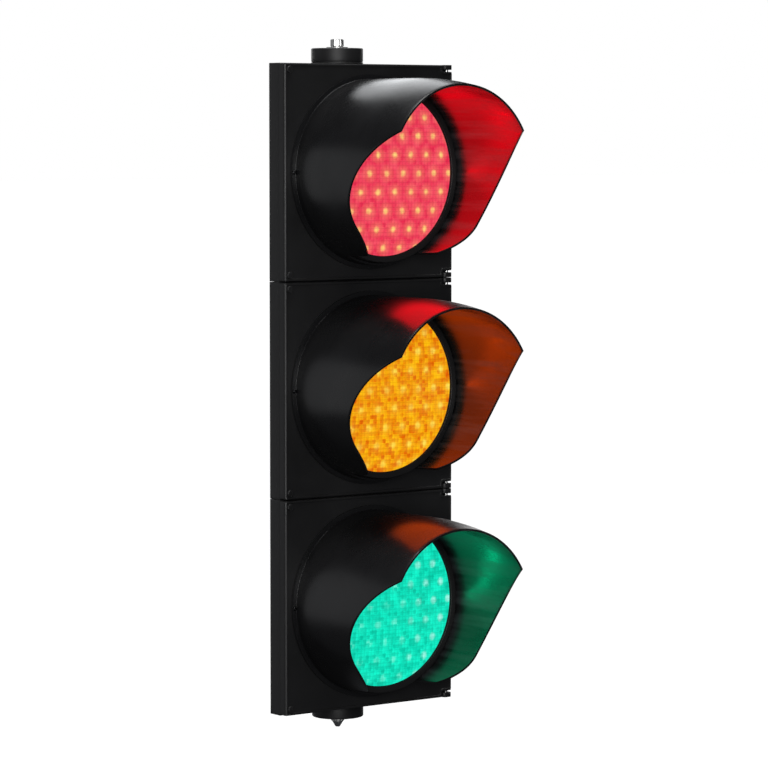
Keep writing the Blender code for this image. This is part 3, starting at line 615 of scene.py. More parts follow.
def circuit_board(name, base):
    """Solder mask over copper tracks, with tinned pads on a square pitch."""
    made, tree, shader, coordinates = new_material(name)
    here = coordinates.outputs["Object"]
    tracks = add_node(
        tree, "ShaderNodeTexWave", {"bands_direction": "X"}, Vector=here, Scale=60.0, Distortion=6.0,
        Detail=1.0, Detail_Scale=0.6).outputs[1]
    track = spread(tree, tracks, 0.55, 0.6, 0.0, 1.0)
    mask = mixed(tree, track, base, [c * 1.9 for c in base])
    feed(tree, shader, Base_Color=mask, Roughness=spread(tree, track, 0.0, 1.0, 0.42, 0.30))
    bumped(tree, shader, track, 0.5, 0.04 * MM)
    return made


def lattice(tree, vector, across, up, shift):
    """Distance in metres from the nearest point of a lattice in x and z: the length of the wrapped offset."""
    half = (across / 2, 10.0, up / 2)
    moved_here = add_node(
        tree, "ShaderNodeVectorMath", {"operation": "ADD"}, i0=vector, i1=(shift * across, 0.0, shift * up))
    wrapped = add_node(
        tree, "ShaderNodeVectorMath", {"operation": "WRAP"}, i0=moved_here.outputs[0],
        i1=half, i2=[-side for side in half])
    flat = add_node(
        tree, "ShaderNodeVectorMath", {"operation": "MULTIPLY"}, i0=wrapped.outputs[0], i1=(1.0, 0.0, 1.0))
    made = add_node(tree, "ShaderNodeVectorMath", {"operation": "LENGTH"}, i0=flat.outputs[0])
    return made.outputs["Value"]


def lit_lens(name, centre, sizes):
    """A lit lens: staggered LEDs behind square prisms, each brighter or dimmer than its neighbours."""
    made, tree, shader, coordinates = new_material(f"{name}_lens_lit")
    face, deep, spark = (
        tuple(getattr(sizes, f"{name}_{part}")) for part in ("face", "deep", "spark"))
    halo_part, spark_part, side_part, dot, mottle = LENS_LOOKS[name]
    here = add_node(
        tree, "ShaderNodeMapping", None, Vector=coordinates.outputs["Object"],
        Location=[-c for c in centre]).outputs[0]

    def vector(operation, first, second=(0.0, 0.0, 0.0), third=(0.0, 0.0, 0.0)):
        """The result of a Vector Math node."""
        return add_node(
            tree, "ShaderNodeVectorMath", {"operation": operation}, i0=first, i1=second, i2=third).outputs[0]

    def wavering(scale, amount):
        """The position shifted by a noise."""
        cloud = add_node(tree, "ShaderNodeTexNoise", None, Vector=here, Scale=scale, Detail=2.0)
        return vector("MULTIPLY_ADD", cloud.outputs["Color"], (amount, 0.0, amount), here)

    side = (sizes.prism, 1.0, sizes.prism)
    cell = vector("SNAP", wavering(60.0, 1.2 * MM), side)
    shade = add_node(tree, "ShaderNodeTexWhiteNoise", None, Vector=cell).outputs["Value"]
    inside = vector("ABSOLUTE", vector("WRAP", here, (sizes.prism / 2, 9.0, sizes.prism / 2),
                                       (-sizes.prism / 2, -9.0, -sizes.prism / 2)))
    split = add_node(tree, "ShaderNodeSeparateXYZ", None, i0=inside)
    border = math_node(tree, "MAXIMUM", split.outputs[0], split.outputs[2])
    border = spread(tree, border, 0.32 * sizes.prism, 0.5 * sizes.prism, 1.0, 0.80)
    broad = noise(tree, here, 85.0, 3.0, 0.6)
    clouded = math_node(tree, "MULTIPLY_ADD", broad, 1.9, -0.47 - mottle / 2)
    tone = math_node(tree, "MULTIPLY_ADD", shade, mottle, clouded, clamp=True)
    tone = mixed(tree, tone, deep, face)

    spot = wavering(150.0, 3.2 * MM)
    near = math_node(
        tree, "MINIMUM", lattice(tree, spot, sizes.spacing, 2 * sizes.row, 0.0),
        lattice(tree, spot, sizes.spacing, 2 * sizes.row, 0.5))
    aside = add_node(tree, "ShaderNodeSeparateXYZ", None, i0=here).outputs[0]
    aside = spread(tree, aside, 0.35 * sizes.spacing, 3.6 * sizes.spacing, 0.0, side_part)
    power = math_node(tree, "MULTIPLY_ADD", shade, 0.5, spark_part - 0.25)
    power = math_node(tree, "ADD", power, aside, clamp=True)
    tone = mixed(tree, spread(tree, near, 1.4 * dot, 4.4 * dot, halo_part, 0.0), tone, [
        (2 * a + b) / 3 for a, b in zip(face, spark)])
    glint = math_node(tree, "MULTIPLY", spread(tree, near, 0.55 * dot, 1.75 * dot, 1.0, 0.0), power)
    tone = mixed(tree, glint, tone, spark)
    tone = mixed(tree, 1.0, tone, add_node(
        tree, "ShaderNodeCombineColor", None, i0=border, i1=border, i2=border).outputs[0], "MULTIPLY")
    unlit = mixed(tree, shade, [c * 0.1 for c in deep], [c * 0.2 for c in face])
    gloss = spread(tree, shade, 0.0, 1.0, 0.16, 0.26)
    feed(tree, shader, Emission_Color=tone, Base_Color=unlit, Roughness=gloss)
    shader.inputs["Emission Strength"].default_value = 1.0
    shader.inputs["Specular IOR Level"].default_value = 0.25
    return made


def finish_of(key):
    """The shared material for a finish, made the first time that it is asked for."""
    found = bpy.data.materials.get(key)
    if found:
        return found
    looks = bpy.context.scene.finish_looks
    makers = {
        "housing_black": lambda: moulded_plastic(key, looks.housing, 0.44, looks.grain),
        # The visor plastic carries paler streaks inside, painted reflection of the lens light
        "visor_black": lambda: moulded_plastic(key, looks.visor, 0.24, looks.grain, 0.015 * MM, 0.1, True),
        "seal_rubber": lambda: rubber(key),
        "zinc_steel": lambda: plated_steel(key, tuple(looks.steel)),
        "black_steel": lambda: plated_steel(key, tuple(looks.black_steel)),
        "nylon_grey": lambda: moulded_plastic(key, looks.nylon, 0.5, looks.grain, 0.04 * MM, 0.1),
        "block_cream": lambda: moulded_plastic(key, looks.cream, 0.45, looks.grain, 0.03 * MM, 0.1),
        "board_green": lambda: circuit_board(key, tuple(looks.board)),
    }
    return makers[key]()


# Housings

def housing_mesh(size):
    """A tub grown inwards from its outer faces: a plan carried up Z, two end walls, and the front land."""
    front = DOOR_DEPTH + PLAY
    shoulder = HALF_WIDTH - size.rim_step
    rim, back, half = size.rim_depth, HOUSING_DEPTH, SHELL_HALF
    wide, high = size.opening_width, size.opening_height
    steps = np.linspace(0.0, 1.0, (LAND_STEPS + 1) // 2)
    outer = HALF_WIDTH + (shoulder - HALF_WIDTH) * steps
    x_edge = np.r_[outer, (shoulder + (wide - shoulder) * steps)[1:]]
    z_edge = np.linspace(half, high, LAND_STEPS)
    x_all = np.r_[-x_edge, np.linspace(-wide, wide, 17)[1:-1], x_edge[::-1]]
    z_all = np.r_[-z_edge, np.linspace(-high, high, 17)[1:-1], z_edge[::-1]]
    rim_path = softened([(HALF_WIDTH, front), (HALF_WIDTH, rim, size.rim_corner), (shoulder, rim)], 5)
    back_path = softened([
        (shoulder, rim), (size.back_width / 2, back, size.back_corner), (0.0, back)], 7)
    side = np.concatenate([rim_path, back_path[1:]])
    path = np.concatenate([side, (side * (-1, 1))[-2::-1]])
    patches = [(np.stack([np.insert(path, 2, z, axis=1) for z in z_all]), False, False)]

    def flat_grid(xs, zs):
        """A grid in the front plane."""
        x, z = np.meshgrid(xs, zs, indexing="ij")
        return np.stack([x, np.full_like(x, front), z], axis=-1), False, False

    inside = slice(LAND_STEPS - 1, 1 - LAND_STEPS)
    left, right = x_all[:LAND_STEPS], x_all[-LAND_STEPS:]
    for xs in (left, right):
        patches.append(flat_grid(xs, z_all[inside]))
    for zs in (z_all[:LAND_STEPS], z_all[-LAND_STEPS:]):
        patches.append(flat_grid(x_all[inside], zs))
        patches.append(flat_grid(right, zs))
        patches.append(socket_patch(left, zs, front))
    for z in (half, -half):
        patches += end_wall(x_all, rim_path, back_path, front, shoulder, rim, z, size.port)
    shell = finished(mesh_of(patches), size.wall, size.edge)
    lug_side, lug_back = HALF_WIDTH - 2 * size.knuckle, front + size.wall
    lug = softened([
        (lug_side, lug_back), (lug_side, 0.0, size.lug_corner), (HALF_WIDTH, 0.0, size.lug_corner),
        (HALF_WIDTH, lug_back)], 8)
    lugs = [
        finished(mesh_of([prism(lug, low, low + size.lug_height)]), 0.0, 0.5 * MM)
        for low in (half - size.lug_height, -half)]
    return joined(shell, *lugs)


def socket_patch(xs, zs, front):
    """The land's corner with a latch socket: a square ring of points drawn in to a circle."""
    low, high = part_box("red_latch_upper")
    centre_x = (low.x + high.x) / 2
    centre_z = abs((low.z + high.z) / 2 - place_of("red")[2]) * np.sign(zs.mean())
    ring = np.concatenate([
        np.stack([xs, 0 * xs + zs[0]], 1)[:-1], np.stack([0 * zs + xs[-1], zs], 1)[:-1],
        np.stack([xs[::-1], 0 * xs + zs[-1]], 1)[:-1], np.stack([0 * zs + xs[0], zs[::-1]], 1)[:-1]])
    offset = ring - (centre_x, centre_z)
    circle = (centre_x, centre_z) + LATCH_SOCKET * offset / np.linalg.norm(offset, axis=1)[:, None]
    rows = [ring + (circle - ring) * share for share in (0.0, 0.6, 1.0)]
    return np.stack([np.insert(row, 1, front, axis=1) for row in rows]), False, True


def end_wall(x_all, rim_path, back_path, front, shoulder, rim, z, port):
    """An end wall: a strip behind the land, its two rounded ends, and a ring drawn in to the wiring port."""
    count = len(rim_path)
    depth = np.linspace(front, rim, count)
    x_strip = x_all[np.abs(x_all) <= shoulder + 1e-7]
    x, y = np.meshgrid(x_strip, depth, indexing="ij")
    made = [(np.stack([x, y, np.full_like(x, z)], axis=-1), False, False)]
    inner = np.stack([np.full(count, shoulder), depth], axis=1)
    share = np.linspace(0.0, 1.0, 4)[:, None, None]
    corner = rim_path + (inner - rim_path) * share
    made += [(np.insert(corner * (side, 1), 2, z, axis=2), False, False) for side in (1, -1)]
    right = back_path
    ring = np.concatenate([
        np.stack([x_strip, 0 * x_strip + rim], 1)[:-1], right, (right * (-1, 1))[-2:0:-1]])
    centre = np.array([0.0, -FRONT_Y])
    offset = ring - centre
    circle = centre + port * offset / np.linalg.norm(offset, axis=1)[:, None]
    rows = [ring + (circle - ring) * part for part in (0.0, 0.5, 0.85, 1.0)]
    made.append((np.stack([np.insert(row, 2, z, axis=1) for row in rows]), False, True))
    return made


class SIGNAL_OT_housings(Operator):
    """Build the three housings with their hinge lugs, land and wiring ports"""
    bl_idname = "signal_head.housings"
    bl_label = "Housings"

    def execute(self, context):
        shape = housing_mesh(context.scene.housing_sizes)
        add_to_sections("housing_shell", shape, "housing", "housing_black", "housing_stack")
        return {"FINISHED"}


# Doors

def door_ring(inset, notch_width, notch_height, corner, spans):
    """The door's outline moved inwards: eight rounded corners, joined by straights sampled at even angles."""
    wide, high = HALF_WIDTH, DOOR_HALF
    inner, low = wide - notch_width, high - notch_height
    corners = np.array([
        (inner, -high), (inner, -low), (wide, -low), (wide, low), (inner, low), (inner, high),
        (-wide, high), (-wide, -high)])
    before = corners - np.roll(corners, 1, axis=0)
    after = np.roll(corners, -1, axis=0) - corners
    before /= np.linalg.norm(before, axis=1)[:, None]
    after /= np.linalg.norm(after, axis=1)[:, None]
    inward = np.stack([-before[:, 1] - after[:, 1], before[:, 0] + after[:, 0]], axis=1)
    points = corners + inward * inset
    convex = before[:, 0] * after[:, 1] - before[:, 1] * after[:, 0] > 0
    radius = np.where(convex, np.maximum(corner - inset, 0.2 * MM), corner + inset)
    first, last = points - before * radius[:, None], points + after * radius[:, None]
    share = np.linspace(0.0, 1.0, 6)[:, None]
    ring = []
    for i in range(8):
        centre = first[i] + last[i] - points[i]
        turn = np.pi / 2 * share
        ring.append(centre + np.cos(turn) * (first[i] - centre) + np.sin(turn) * (last[i] - centre))
        start, end = last[i], first[(i + 1) % 8]
        angles = np.arctan2([start[1], end[1]], [start[0], end[0]])
        sweep = (angles[1] - angles[0] + np.pi) % (2 * np.pi) - np.pi
        angle = angles[0] + sweep * np.linspace(0.0, 1.0, spans[i] + 1)[1:-1]
        run = end - start
        along = start[0] * np.sin(angle) - start[1] * np.cos(angle)
        along = along / (run[1] * np.cos(angle) - run[0] * np.sin(angle))
        ring.append(start + run * along[:, None])
    return np.concatenate(ring)


def edge_profile(radius, depth):
    """A straight side and a quarter circle onto the front: (inset, depth) pairs."""
    turn = np.radians(np.linspace(0.0, 90.0, 9))
    quarter = np.stack([radius * (1 - np.cos(turn)), radius * (1 - np.sin(turn))], axis=1)
    return np.concatenate([[(0.0, depth)], quarter])


def door_mesh(size, knuckle):
    """A closed profile carried round the door while its outline turns from the notched edge to a circle."""
    spans = (3, 4, 72, 4, 3, 72, 84, 72)
    shape = (size.notch_width, size.notch_height, 1.2 * MM, spans)
    deepest = 6 * MM
    outer, deep = door_ring(0.0, *shape), door_ring(deepest, *shape)
    angle = np.arctan2(outer[:, 1], outer[:, 0])
    on_right = smooth(outer[:, 0], HALF_WIDTH - 1.5 * MM, HALF_WIDTH)[None, :, None]
    on_left = smooth(-outer[:, 0], HALF_WIDTH - 1.5 * MM, HALF_WIDTH)[None, :, None]
    hinge_depth = DOOR_DEPTH - knuckle
    turn = np.linspace(np.pi / 2, -np.arcsin(hinge_depth / knuckle), 10)
    round_edge = np.stack([knuckle * (1 - np.cos(turn)), hinge_depth + knuckle * np.sin(turn)], axis=1)
    left_edge = edge_profile(3.0 * MM, DOOR_DEPTH)
    plain_edge = edge_profile(0.8 * MM, DOOR_DEPTH)
    edge = (
        round_edge[:, None] * on_right + left_edge[:, None] * on_left
        + plain_edge[:, None] * (1 - on_right - on_left))

    def at(inset, depth):
        """The outline moved in by an inset, at a depth, as one row."""
        flat = outer + (deep - outer) * (inset + 0 * angle)[:, None] / deepest
        return np.insert(flat, 1, depth, axis=1)[None]

    def circle(radius, depth):
        """A circle on the lens axis."""
        return np.stack([radius * np.cos(angle), 0 * angle + depth, radius * np.sin(angle)], axis=1)[None]

    def box_radius(left, right, high):
        """Distance from the axis to a rectangle, at each angle."""
        side = np.where(np.cos(angle) > 0, right, left)
        return np.minimum(side / np.maximum(np.abs(np.cos(angle)), 1e-9),
                          high / np.maximum(np.abs(np.sin(angle)), 1e-9))

    bead, sunk, wall = size.bead_width, size.bead_height, size.wall
    edge_rows = [at(row[:, 0], row[:, 1]) for row in edge]
    slope = [at(bead + off * MM, share * sunk)
             for off, share in ((-0.25, 0.0), (0.0, 0.06), (0.25, 0.5), (0.5, 0.94), (0.75, 1.0))]
    rim = slope[-1]
    fillet = 1.6 * MM
    start = circle(size.collar + fillet, sunk)
    panel = [rim + (start - rim) * share for share in (0.12, 0.4, 0.7)]
    collar, lip = size.collar, size.collar_lip
    bore, back = collar - size.collar_wall, DOOR_DEPTH - PLAY
    outside = softened([
        (collar + fillet, sunk), (collar, sunk, fillet * 0.98), (collar, -COLLAR_PROUD, 1.2 * MM),
        (size.aperture, -COLLAR_PROUD, 0.7 * MM), (size.aperture, lip - COLLAR_PROUD),
        (bore, lip - COLLAR_PROUD), (bore, back, 0.4 * MM), (collar, back, 0.4 * MM),
        (collar, sunk + wall, 0.0)], 5)
    tube = [circle(radius, depth) for radius, depth in outside]
    # The pocket is narrower beside the hinge lugs than between them
    left, beside, between = HALF_WIDTH - wall, collar + 1.55 * MM, collar + 5.6 * MM
    between_height, thinnest = 109 * MM, 1.5 * MM
    pocket_wall = np.maximum(
        box_radius(left, beside, DOOR_HALF - wall), box_radius(left, between, between_height))
    pocket_wall = np.minimum(pocket_wall, np.hypot(*outer.T) - thinnest)
    pocket = [circle(pocket_wall, depth) for depth in (sunk + wall, DOOR_DEPTH)]
    grid = np.concatenate([*edge_rows, *slope, *panel, *tube, *pocket])
    return mesh_of([(grid, True, True)])


def seal_mesh(size):
    """The rubber frame: a D-shaped section carried round a rounded rectangle between its two edges."""
    side_room, end_room = 1.35 * MM, 4.7 * MM  # collar to the inside of the seal
    inner = size.collar + np.array([side_room, end_room])
    turn = full_turn(24)
    half, middle = size.seal_width / 2, (DOOR_DEPTH + size.bead_height + size.wall + PLAY) / 2
    deep = (DOOR_DEPTH - size.bead_height - size.wall - PLAY) / 2
    across = half + half * np.sign(np.cos(turn)) * np.abs(np.cos(turn)) ** 0.5
    depth = middle + deep * np.sign(np.sin(turn)) * np.abs(np.sin(turn)) ** 0.5
    quarter = np.radians(np.linspace(0.0, 90.0, 9))
    corner = 1.0 * MM
    signs = ((1, 1, 0.0), (-1, 1, 90.0), (-1, -1, 180.0), (1, -1, 270.0))
    rows = []
    for offset, back in zip(across, depth):
        ring = [
            np.stack([
                x * (inner[0] - corner) + (corner + offset) * np.cos(quarter + math.radians(start)),
                z * (inner[1] - corner) + (corner + offset) * np.sin(quarter + math.radians(start))], 1)
            for x, z, start in signs]
        rows.append(np.insert(np.concatenate(ring), 1, back, axis=1))
    return mesh_of([(np.stack(rows), True, True)])


def latch_mesh(size):
    """A slotted head, its shank and its cross key, about the latch's own axis along Y."""
    low, high = corners_of("red_latch_upper")
    reach = high[1] - FRONT_Y
    head_back = size.bead_height - PLAY
    tall = head_back - (low[1] - FRONT_Y)

    def slot(x, y):
        """A straight slot a millimetre deep with soft edges."""
        return 1.0 * MM * (1 - smooth(np.abs(x), 0.5 * MM, 0.75 * MM))

    at = (0.0, head_back, 0.0)
    head = forward(button(size.latch_head, tall, 0.7 * MM, slot), at)
    grip, tip = 2.2 * MM, head_back - reach
    shank = softened([(0.0, 0.5 * MM), (grip, 0.5 * MM), (grip, tip, 0.5 * MM), (0.0, tip)])
    key_low, key_high = (-3.2 * MM, reach - 3.0 * MM, -1.2 * MM), (3.2 * MM, reach, 1.2 * MM)
    key = finished(mesh_of([brick(key_low, key_high)]), 0.0, 0.4 * MM)
    return joined(mesh_of([head]), mesh_of([forward(turned(shank, 48), at)]), key)


class SIGNAL_OT_doors(Operator):
    """Build the three doors with their raised borders and lens collars"""
    bl_idname = "signal_head.doors"
    bl_label = "Doors"

    def execute(self, context):
        shape = door_mesh(context.scene.door_sizes, context.scene.housing_sizes.knuckle)
        add_to_sections("door_panel", shape, "door", "housing_black")
        return {"FINISHED"}


class SIGNAL_OT_seals(Operator):
    """Build the rubber seals behind the doors"""
    bl_idname = "signal_head.seals"
    bl_label = "Door seals"

    def execute(self, context):
        shape = seal_mesh(context.scene.door_sizes)
        add_to_sections("seal_frame", shape, "door_seal", "seal_rubber")
        return {"FINISHED"}


class SIGNAL_OT_latches(Operator):
    """Build the quarter-turn latches"""
    bl_idname = "signal_head.latches"
    bl_label = "Latches"

    def execute(self, context):
        shape = latch_mesh(context.scene.door_sizes)
        for name in COLOURS:
            for side in ("upper", "lower"):
                low, high = corners_of(f"{name}_latch_{side}")
                x, _, z = (low + high) / 2
                add_piece(
                    f"{name}_latch_{side}_turn", moved(shape, x, FRONT_Y, z), f"{name}_latch_{side}",
                    finish_of("housing_black"), [f"{name}_latch_{side}"])
        return {"FINISHED"}


# Visors

def visor_reach(angle, size):
    """The edge's distance from the door: full over the hood, a falling square beside it, then the sleeve."""
    angle = np.abs(angle)
    fall = np.clip(1 - (angle - size.hood_angle) / (size.skirt_angle - size.hood_angle), 0.0, 1.0)
    reach = size.skirt_reach + (VISOR_LENGTH - size.skirt_reach) * fall ** 2
    reach = reach - size.lower_sweep * np.clip(angle - size.skirt_angle, 0.0, None) ** 2
    open_below = smooth(angle, size.opening_angle - 0.3, size.opening_angle + 2.3)
    return reach + (size.sleeve_reach - reach) * open_below


def visor_mesh(size):
    """A sleeve of rows from its foot flange to its edge: radius R - droop t^2, turned through each angle."""
    before, after = size.opening_angle - 0.4, size.opening_angle + 2.4
    ends = (0.0, size.hood_angle, size.skirt_angle, before, after, 180.0)
    stops = np.concatenate([
        np.linspace(start, end, count)[1:] for start, end, count in zip(ends, ends[1:], (40, 50, 22, 9, 20))])
    stops = np.r_[0.0, stops]
    angle = np.concatenate([stops, -stops[-2:0:-1]])[None]
    reach = visor_reach(angle, size)
    share = np.linspace(0.0, 1.0, 34)[:, None] ** 0.9
    foot = softened([
        (size.radius + size.flange, size.flange_front), (size.radius, size.flange_front, 0.4 * MM),
        (size.radius, size.flange_front + 3.0 * MM)], 4)
    start = foot[-1, 1]
    along = start + (reach - start) * share
    drawn = np.clip((along - size.droop_start) / (VISOR_LENGTH - size.droop_start), 0.0, None)
    radius = size.radius - size.droop * drawn ** 2
    along = np.concatenate([foot[:-1, 1:] + 0 * angle, along])
    radius = np.concatenate([foot[:-1, :1] + 0 * angle, radius])
    turn = np.radians(angle)
    grid = np.stack([radius * np.sin(turn), -along, radius * np.cos(turn)], axis=-1)
    return finished(mesh_of([(grid, False, True)]), size.wall, 0.3 * MM, 2, 50.0)


class SIGNAL_OT_visors(Operator):
    """Build the three cutaway visors"""
    bl_idname = "signal_head.visors"
    bl_label = "Visors"

    def execute(self, context):
        shape = visor_mesh(context.scene.visor_sizes)
        add_to_sections("visor_hood", shape, "visor", "visor_black")
        return {"FINISHED"}


def screw_mesh(low, high):
    """A pan head with a cross recess of tapered arms, and its shank."""
    tall, shank = 1.6 * MM, 1.25 * MM

    def cross(x, y):
        """A cross 0.7 mm deep that ends inside the head."""
        arm = 1 - smooth(np.minimum(np.abs(x), np.abs(y)), 0.22 * MM, 0.42 * MM)
        return 0.7 * MM * arm * (1 - smooth(np.hypot(x, y), 1.0 * MM, 1.35 * MM))

    place = (low + high) / 2
    place[1] = low[1] + tall
    tip = place[1] - high[1]
    head = forward(button((high[0] - low[0]) / 2, tall, 1.0 * MM, cross, 24, 64), place)
    thread = turned(softened([(0.0, 0.2 * MM), (shank, 0.2 * MM), (shank, tip, 0.5 * MM), (0.0, tip)]), 32)
    return joined(mesh_of([head]), mesh_of([forward(thread, place)]))


def pin_mesh(low, high):
    """A plain pin with rounded ends."""
    radius, long = (high[0] - low[0]) / 2, (high[2] - low[2]) / 2
    profile = softened([(0.0, -long), (radius, -long, 0.5 * MM), (radius, long, 0.5 * MM), (0.0, long)])
    return mesh_of([upright(turned(profile, 40), (low + high) / 2)])


class SIGNAL_OT_screws(Operator):
    """Build the visor screws and the hinge pins"""
    bl_idname = "signal_head.screws"
    bl_label = "Screws and hinge pins"

    def execute(self, context):
        for name in COLOURS:
            for side in ("left", "right"):
                node = f"{name}_visor_screw_{side}"
                add_piece(
                    f"{node}_fine", screw_mesh(*corners_of(node)), f"{name}_door_assembly",
                    finish_of("black_steel"), [node])
            for side in ("upper", "lower"):
                node = f"{name}_hinge_pin_{side}"
                add_piece(
                    f"{node}_fine", pin_mesh(*corners_of(node)), "housing_stack",
                    finish_of("zinc_steel"), [node])
        return {"FINISHED"}


# Lenses and LED modules

def lens_mesh(size, aperture, front, rim):
    """A domed disc, crown (1 - (r/R)^2), with pillow prisms, the root of |sin x sin z|, on its face."""
    radius = aperture - 2 * PLAY
    rings, steps = 96, 420
    r = radius * np.linspace(0.0, 1.0, rings)[:, None]
    angle = full_turn(steps)[None]
    x, z = r * np.cos(angle), r * np.sin(angle)
    pillow = np.abs(np.sin(np.pi * x / size.prism) * np.sin(np.pi * z / size.prism)) ** 0.5
    fade = 1 - smooth(r, radius - 3 * MM, radius - 0.5 * MM)
    out = front + size.crown * (1 - (r / radius) ** 2) + size.prism_height * (pillow - 1.0) * fade
    face = np.stack([x, -out, z], axis=-1)

    def ring(at, height):
        """A circle round the lens."""
        return np.stack([at * np.cos(angle), 0 * angle - height, at * np.sin(angle)], axis=-1)

    back_r = radius * np.linspace(1.0, 0.0, 14)
    back = [ring(b, front + size.crown * (1 - (b / radius) ** 2) - size.wall) for b in back_r]
    grid = np.concatenate([
        face, ring(rim - 0.4 * MM, front), ring(rim, front - 0.4 * MM), ring(rim, front - size.wall), *back])
    return mesh_of([(grid, False, True)])


class SIGNAL_OT_lenses(Operator):
    """Build the three lit lenses with their prism faces"""
    bl_idname = "signal_head.lenses"
    bl_label = "Lenses"

    def execute(self, context):
        scene = context.scene
        size, aperture = scene.lens_sizes, scene.door_sizes.aperture
        low, high = corners_of("red_lens")
        front = FRONT_Y - low[1] - size.crown
        shape = lens_mesh(size, aperture, front, high[0])
        for name in COLOURS:
            material = lit_lens(name, place_of(name), size)
            add_piece(
                f"{name}_lens_face", moved(shape, *place_of(name)), f"{name}_door_assembly",
                material, [f"{name}_lens"], 60.0).visible_glossy = False
        return {"FINISHED"}


def turned_like(node, place, section, steps=160):
    """A ring of rounded rectangular section in the box of a CAD ring, turned about the lens axis."""
    low, high = corners_of(node)
    outer, front, back = high[0] - place[0], FRONT_Y - low[1], FRONT_Y - high[1]
    inner = outer - section
    soft = min(front - back, section) * 0.25
    middle = (outer + inner) / 2
    profile = softened([
        (middle, front), (outer, front, soft), (outer, back, soft), (inner, back, soft), (inner, front, soft),
        (middle, front)])
    return mesh_of([forward(turned(profile[:-1], steps, True), place)])


def case_mesh(place):
    """The module's cup, one turned profile, with a cable boss and straight ribs on its back."""
    rim = CASE_HIGH[0]
    front, back = FRONT_Y - CASE_LOW[1], FRONT_Y - CASE_HIGH[1]
    outer, wall, flange = rim - 8.7 * MM, 2.5 * MM, 3.0 * MM
    knee = front - 30.0 * MM
    small = outer - 26.5 * MM
    profile = softened([
        (0.0, back + wall), (small - wall, back + wall, 2 * MM), (outer - wall, knee, 3 * MM),
        (outer - wall, front, 0.5 * MM), (rim, front, 0.5 * MM), (rim, front - flange, 0.5 * MM),
        (outer, front - flange, 1.0 * MM), (outer, knee, 4 * MM), (small, back, 3 * MM), (0.0, back)], 5)
    cup = mesh_of([forward(turned(profile, 192), place)])
    boss = softened([
        (0.0, back + 0.5 * MM), (11 * MM, back + 0.5 * MM), (11 * MM, back - 3 * MM, 1.2 * MM),
        (6.5 * MM, back - 3 * MM, 0.8 * MM), (6.5 * MM, back - 7 * MM, 1.0 * MM), (0.0, back - 7 * MM)], 5)
    ribs, rib_half, rib_top = [], 1.2 * MM, back - 2.2 * MM
    rib_start, rib_foot = 14 * MM, back + 1 * MM
    rib = [(rib_start, rib_foot), (rib_start, rib_top), (small - 4 * MM, rib_top), (small + 1 * MM, rib_foot)]
    for angle in full_turn(8):
        along = np.array([math.cos(angle), 0.0, math.sin(angle)])
        across = np.array([-math.sin(angle), 0.0, math.cos(angle)])
        sides = [place + r * along - (0.0, h, 0.0) for r, h in rib]
        strip = np.stack([[side + across * w for w in (-rib_half, rib_half)] for side in sides])
        ribs.append(mesh_of(rib_patches(strip)))
    return joined(cup, mesh_of([forward(turned(boss, 64), place)]), *ribs)


def rib_patches(strip):
    """A straight rib from two matching outlines: its edge all round, and both flat sides."""
    left, right = strip[:, 0], strip[:, 1]
    sides = [np.stack([side, np.broadcast_to(side.mean(axis=0), side.shape)]) for side in (left, right)]
    return [(strip, True, False), *((side, False, True) for side in sides)]


def led_mesh(size, place, node, limit):
    """Every LED of a board: a small dome repeated on the staggered lattice inside the board's edge."""
    low = corners_of(node)[0]
    turn = full_turn(12)
    rise = np.array([(3.0, -0.4), (3.0, 0.6), (2.4, 0.6), (2.3, 1.6), (1.6, 2.5), (0.0, 2.9)]) * MM
    dome = np.stack([
        rise[:, :1] * np.cos(turn), 0 * turn - rise[:, 1:], rise[:, :1] * np.sin(turn)], axis=-1)
    dome = np.concatenate([np.broadcast_to([0.0, 0.4 * MM, 0.0], (1, 12, 3)), dome])
    row, column = np.meshgrid(np.arange(-4, 5), np.arange(-4, 5), indexing="ij")
    x = (column + 0.5 * (row % 2)) * size.spacing
    z = row * size.row
    inside = np.hypot(x, z) < limit
    base = np.array([place[0], low[1], place[2]])
    return mesh_of([(dome + base + (u, 0.0, v), False, True) for u, v in zip(x[inside], z[inside])])


class SIGNAL_OT_modules(Operator):
    """Build the LED modules behind the lenses: gaskets, cases, boards, LEDs and retaining rings"""
    bl_idname = "signal_head.modules"
    bl_label = "LED modules"

    def execute(self, context):
        size = context.scene.lens_sizes
        for name in COLOURS:
            place, body = place_of(name), f"{name}_door_assembly"
            add_piece(
                f"{name}_gasket_ring", turned_like(f"{name}_lens_gasket", place, 4.4 * MM), body,
                finish_of("seal_rubber"), [f"{name}_lens_gasket"])
            add_piece(
                f"{name}_case_cup", case_mesh(place), body, finish_of("nylon_grey"),
                [f"{name}_module_case"])
            add_piece(
                f"{name}_clamp_ring", turned_like(f"{name}_retaining_ring", place, 8.4 * MM), body,
                finish_of("housing_black"), [f"{name}_retaining_ring"])
            low, high = corners_of(f"{name}_led_board")
            edge, front, back = high[0], FRONT_Y - low[1], FRONT_Y - high[1]
            profile = softened([(0.0, front), (edge, front, 0.2 * MM), (edge, back, 0.2 * MM), (0.0, back)])
            add_piece(
                f"{name}_board_disc", mesh_of([forward(turned(profile, 128), place)]), body,
                finish_of("board_green"), [f"{name}_led_board"])
            add_piece(
                f"{name}_leds", led_mesh(size, place, f"{name}_led_board", edge - 4 * MM), body,
                finish_of("block_cream"))
        return {"FINISHED"}


# Caps, bolts, couplers and the terminal block

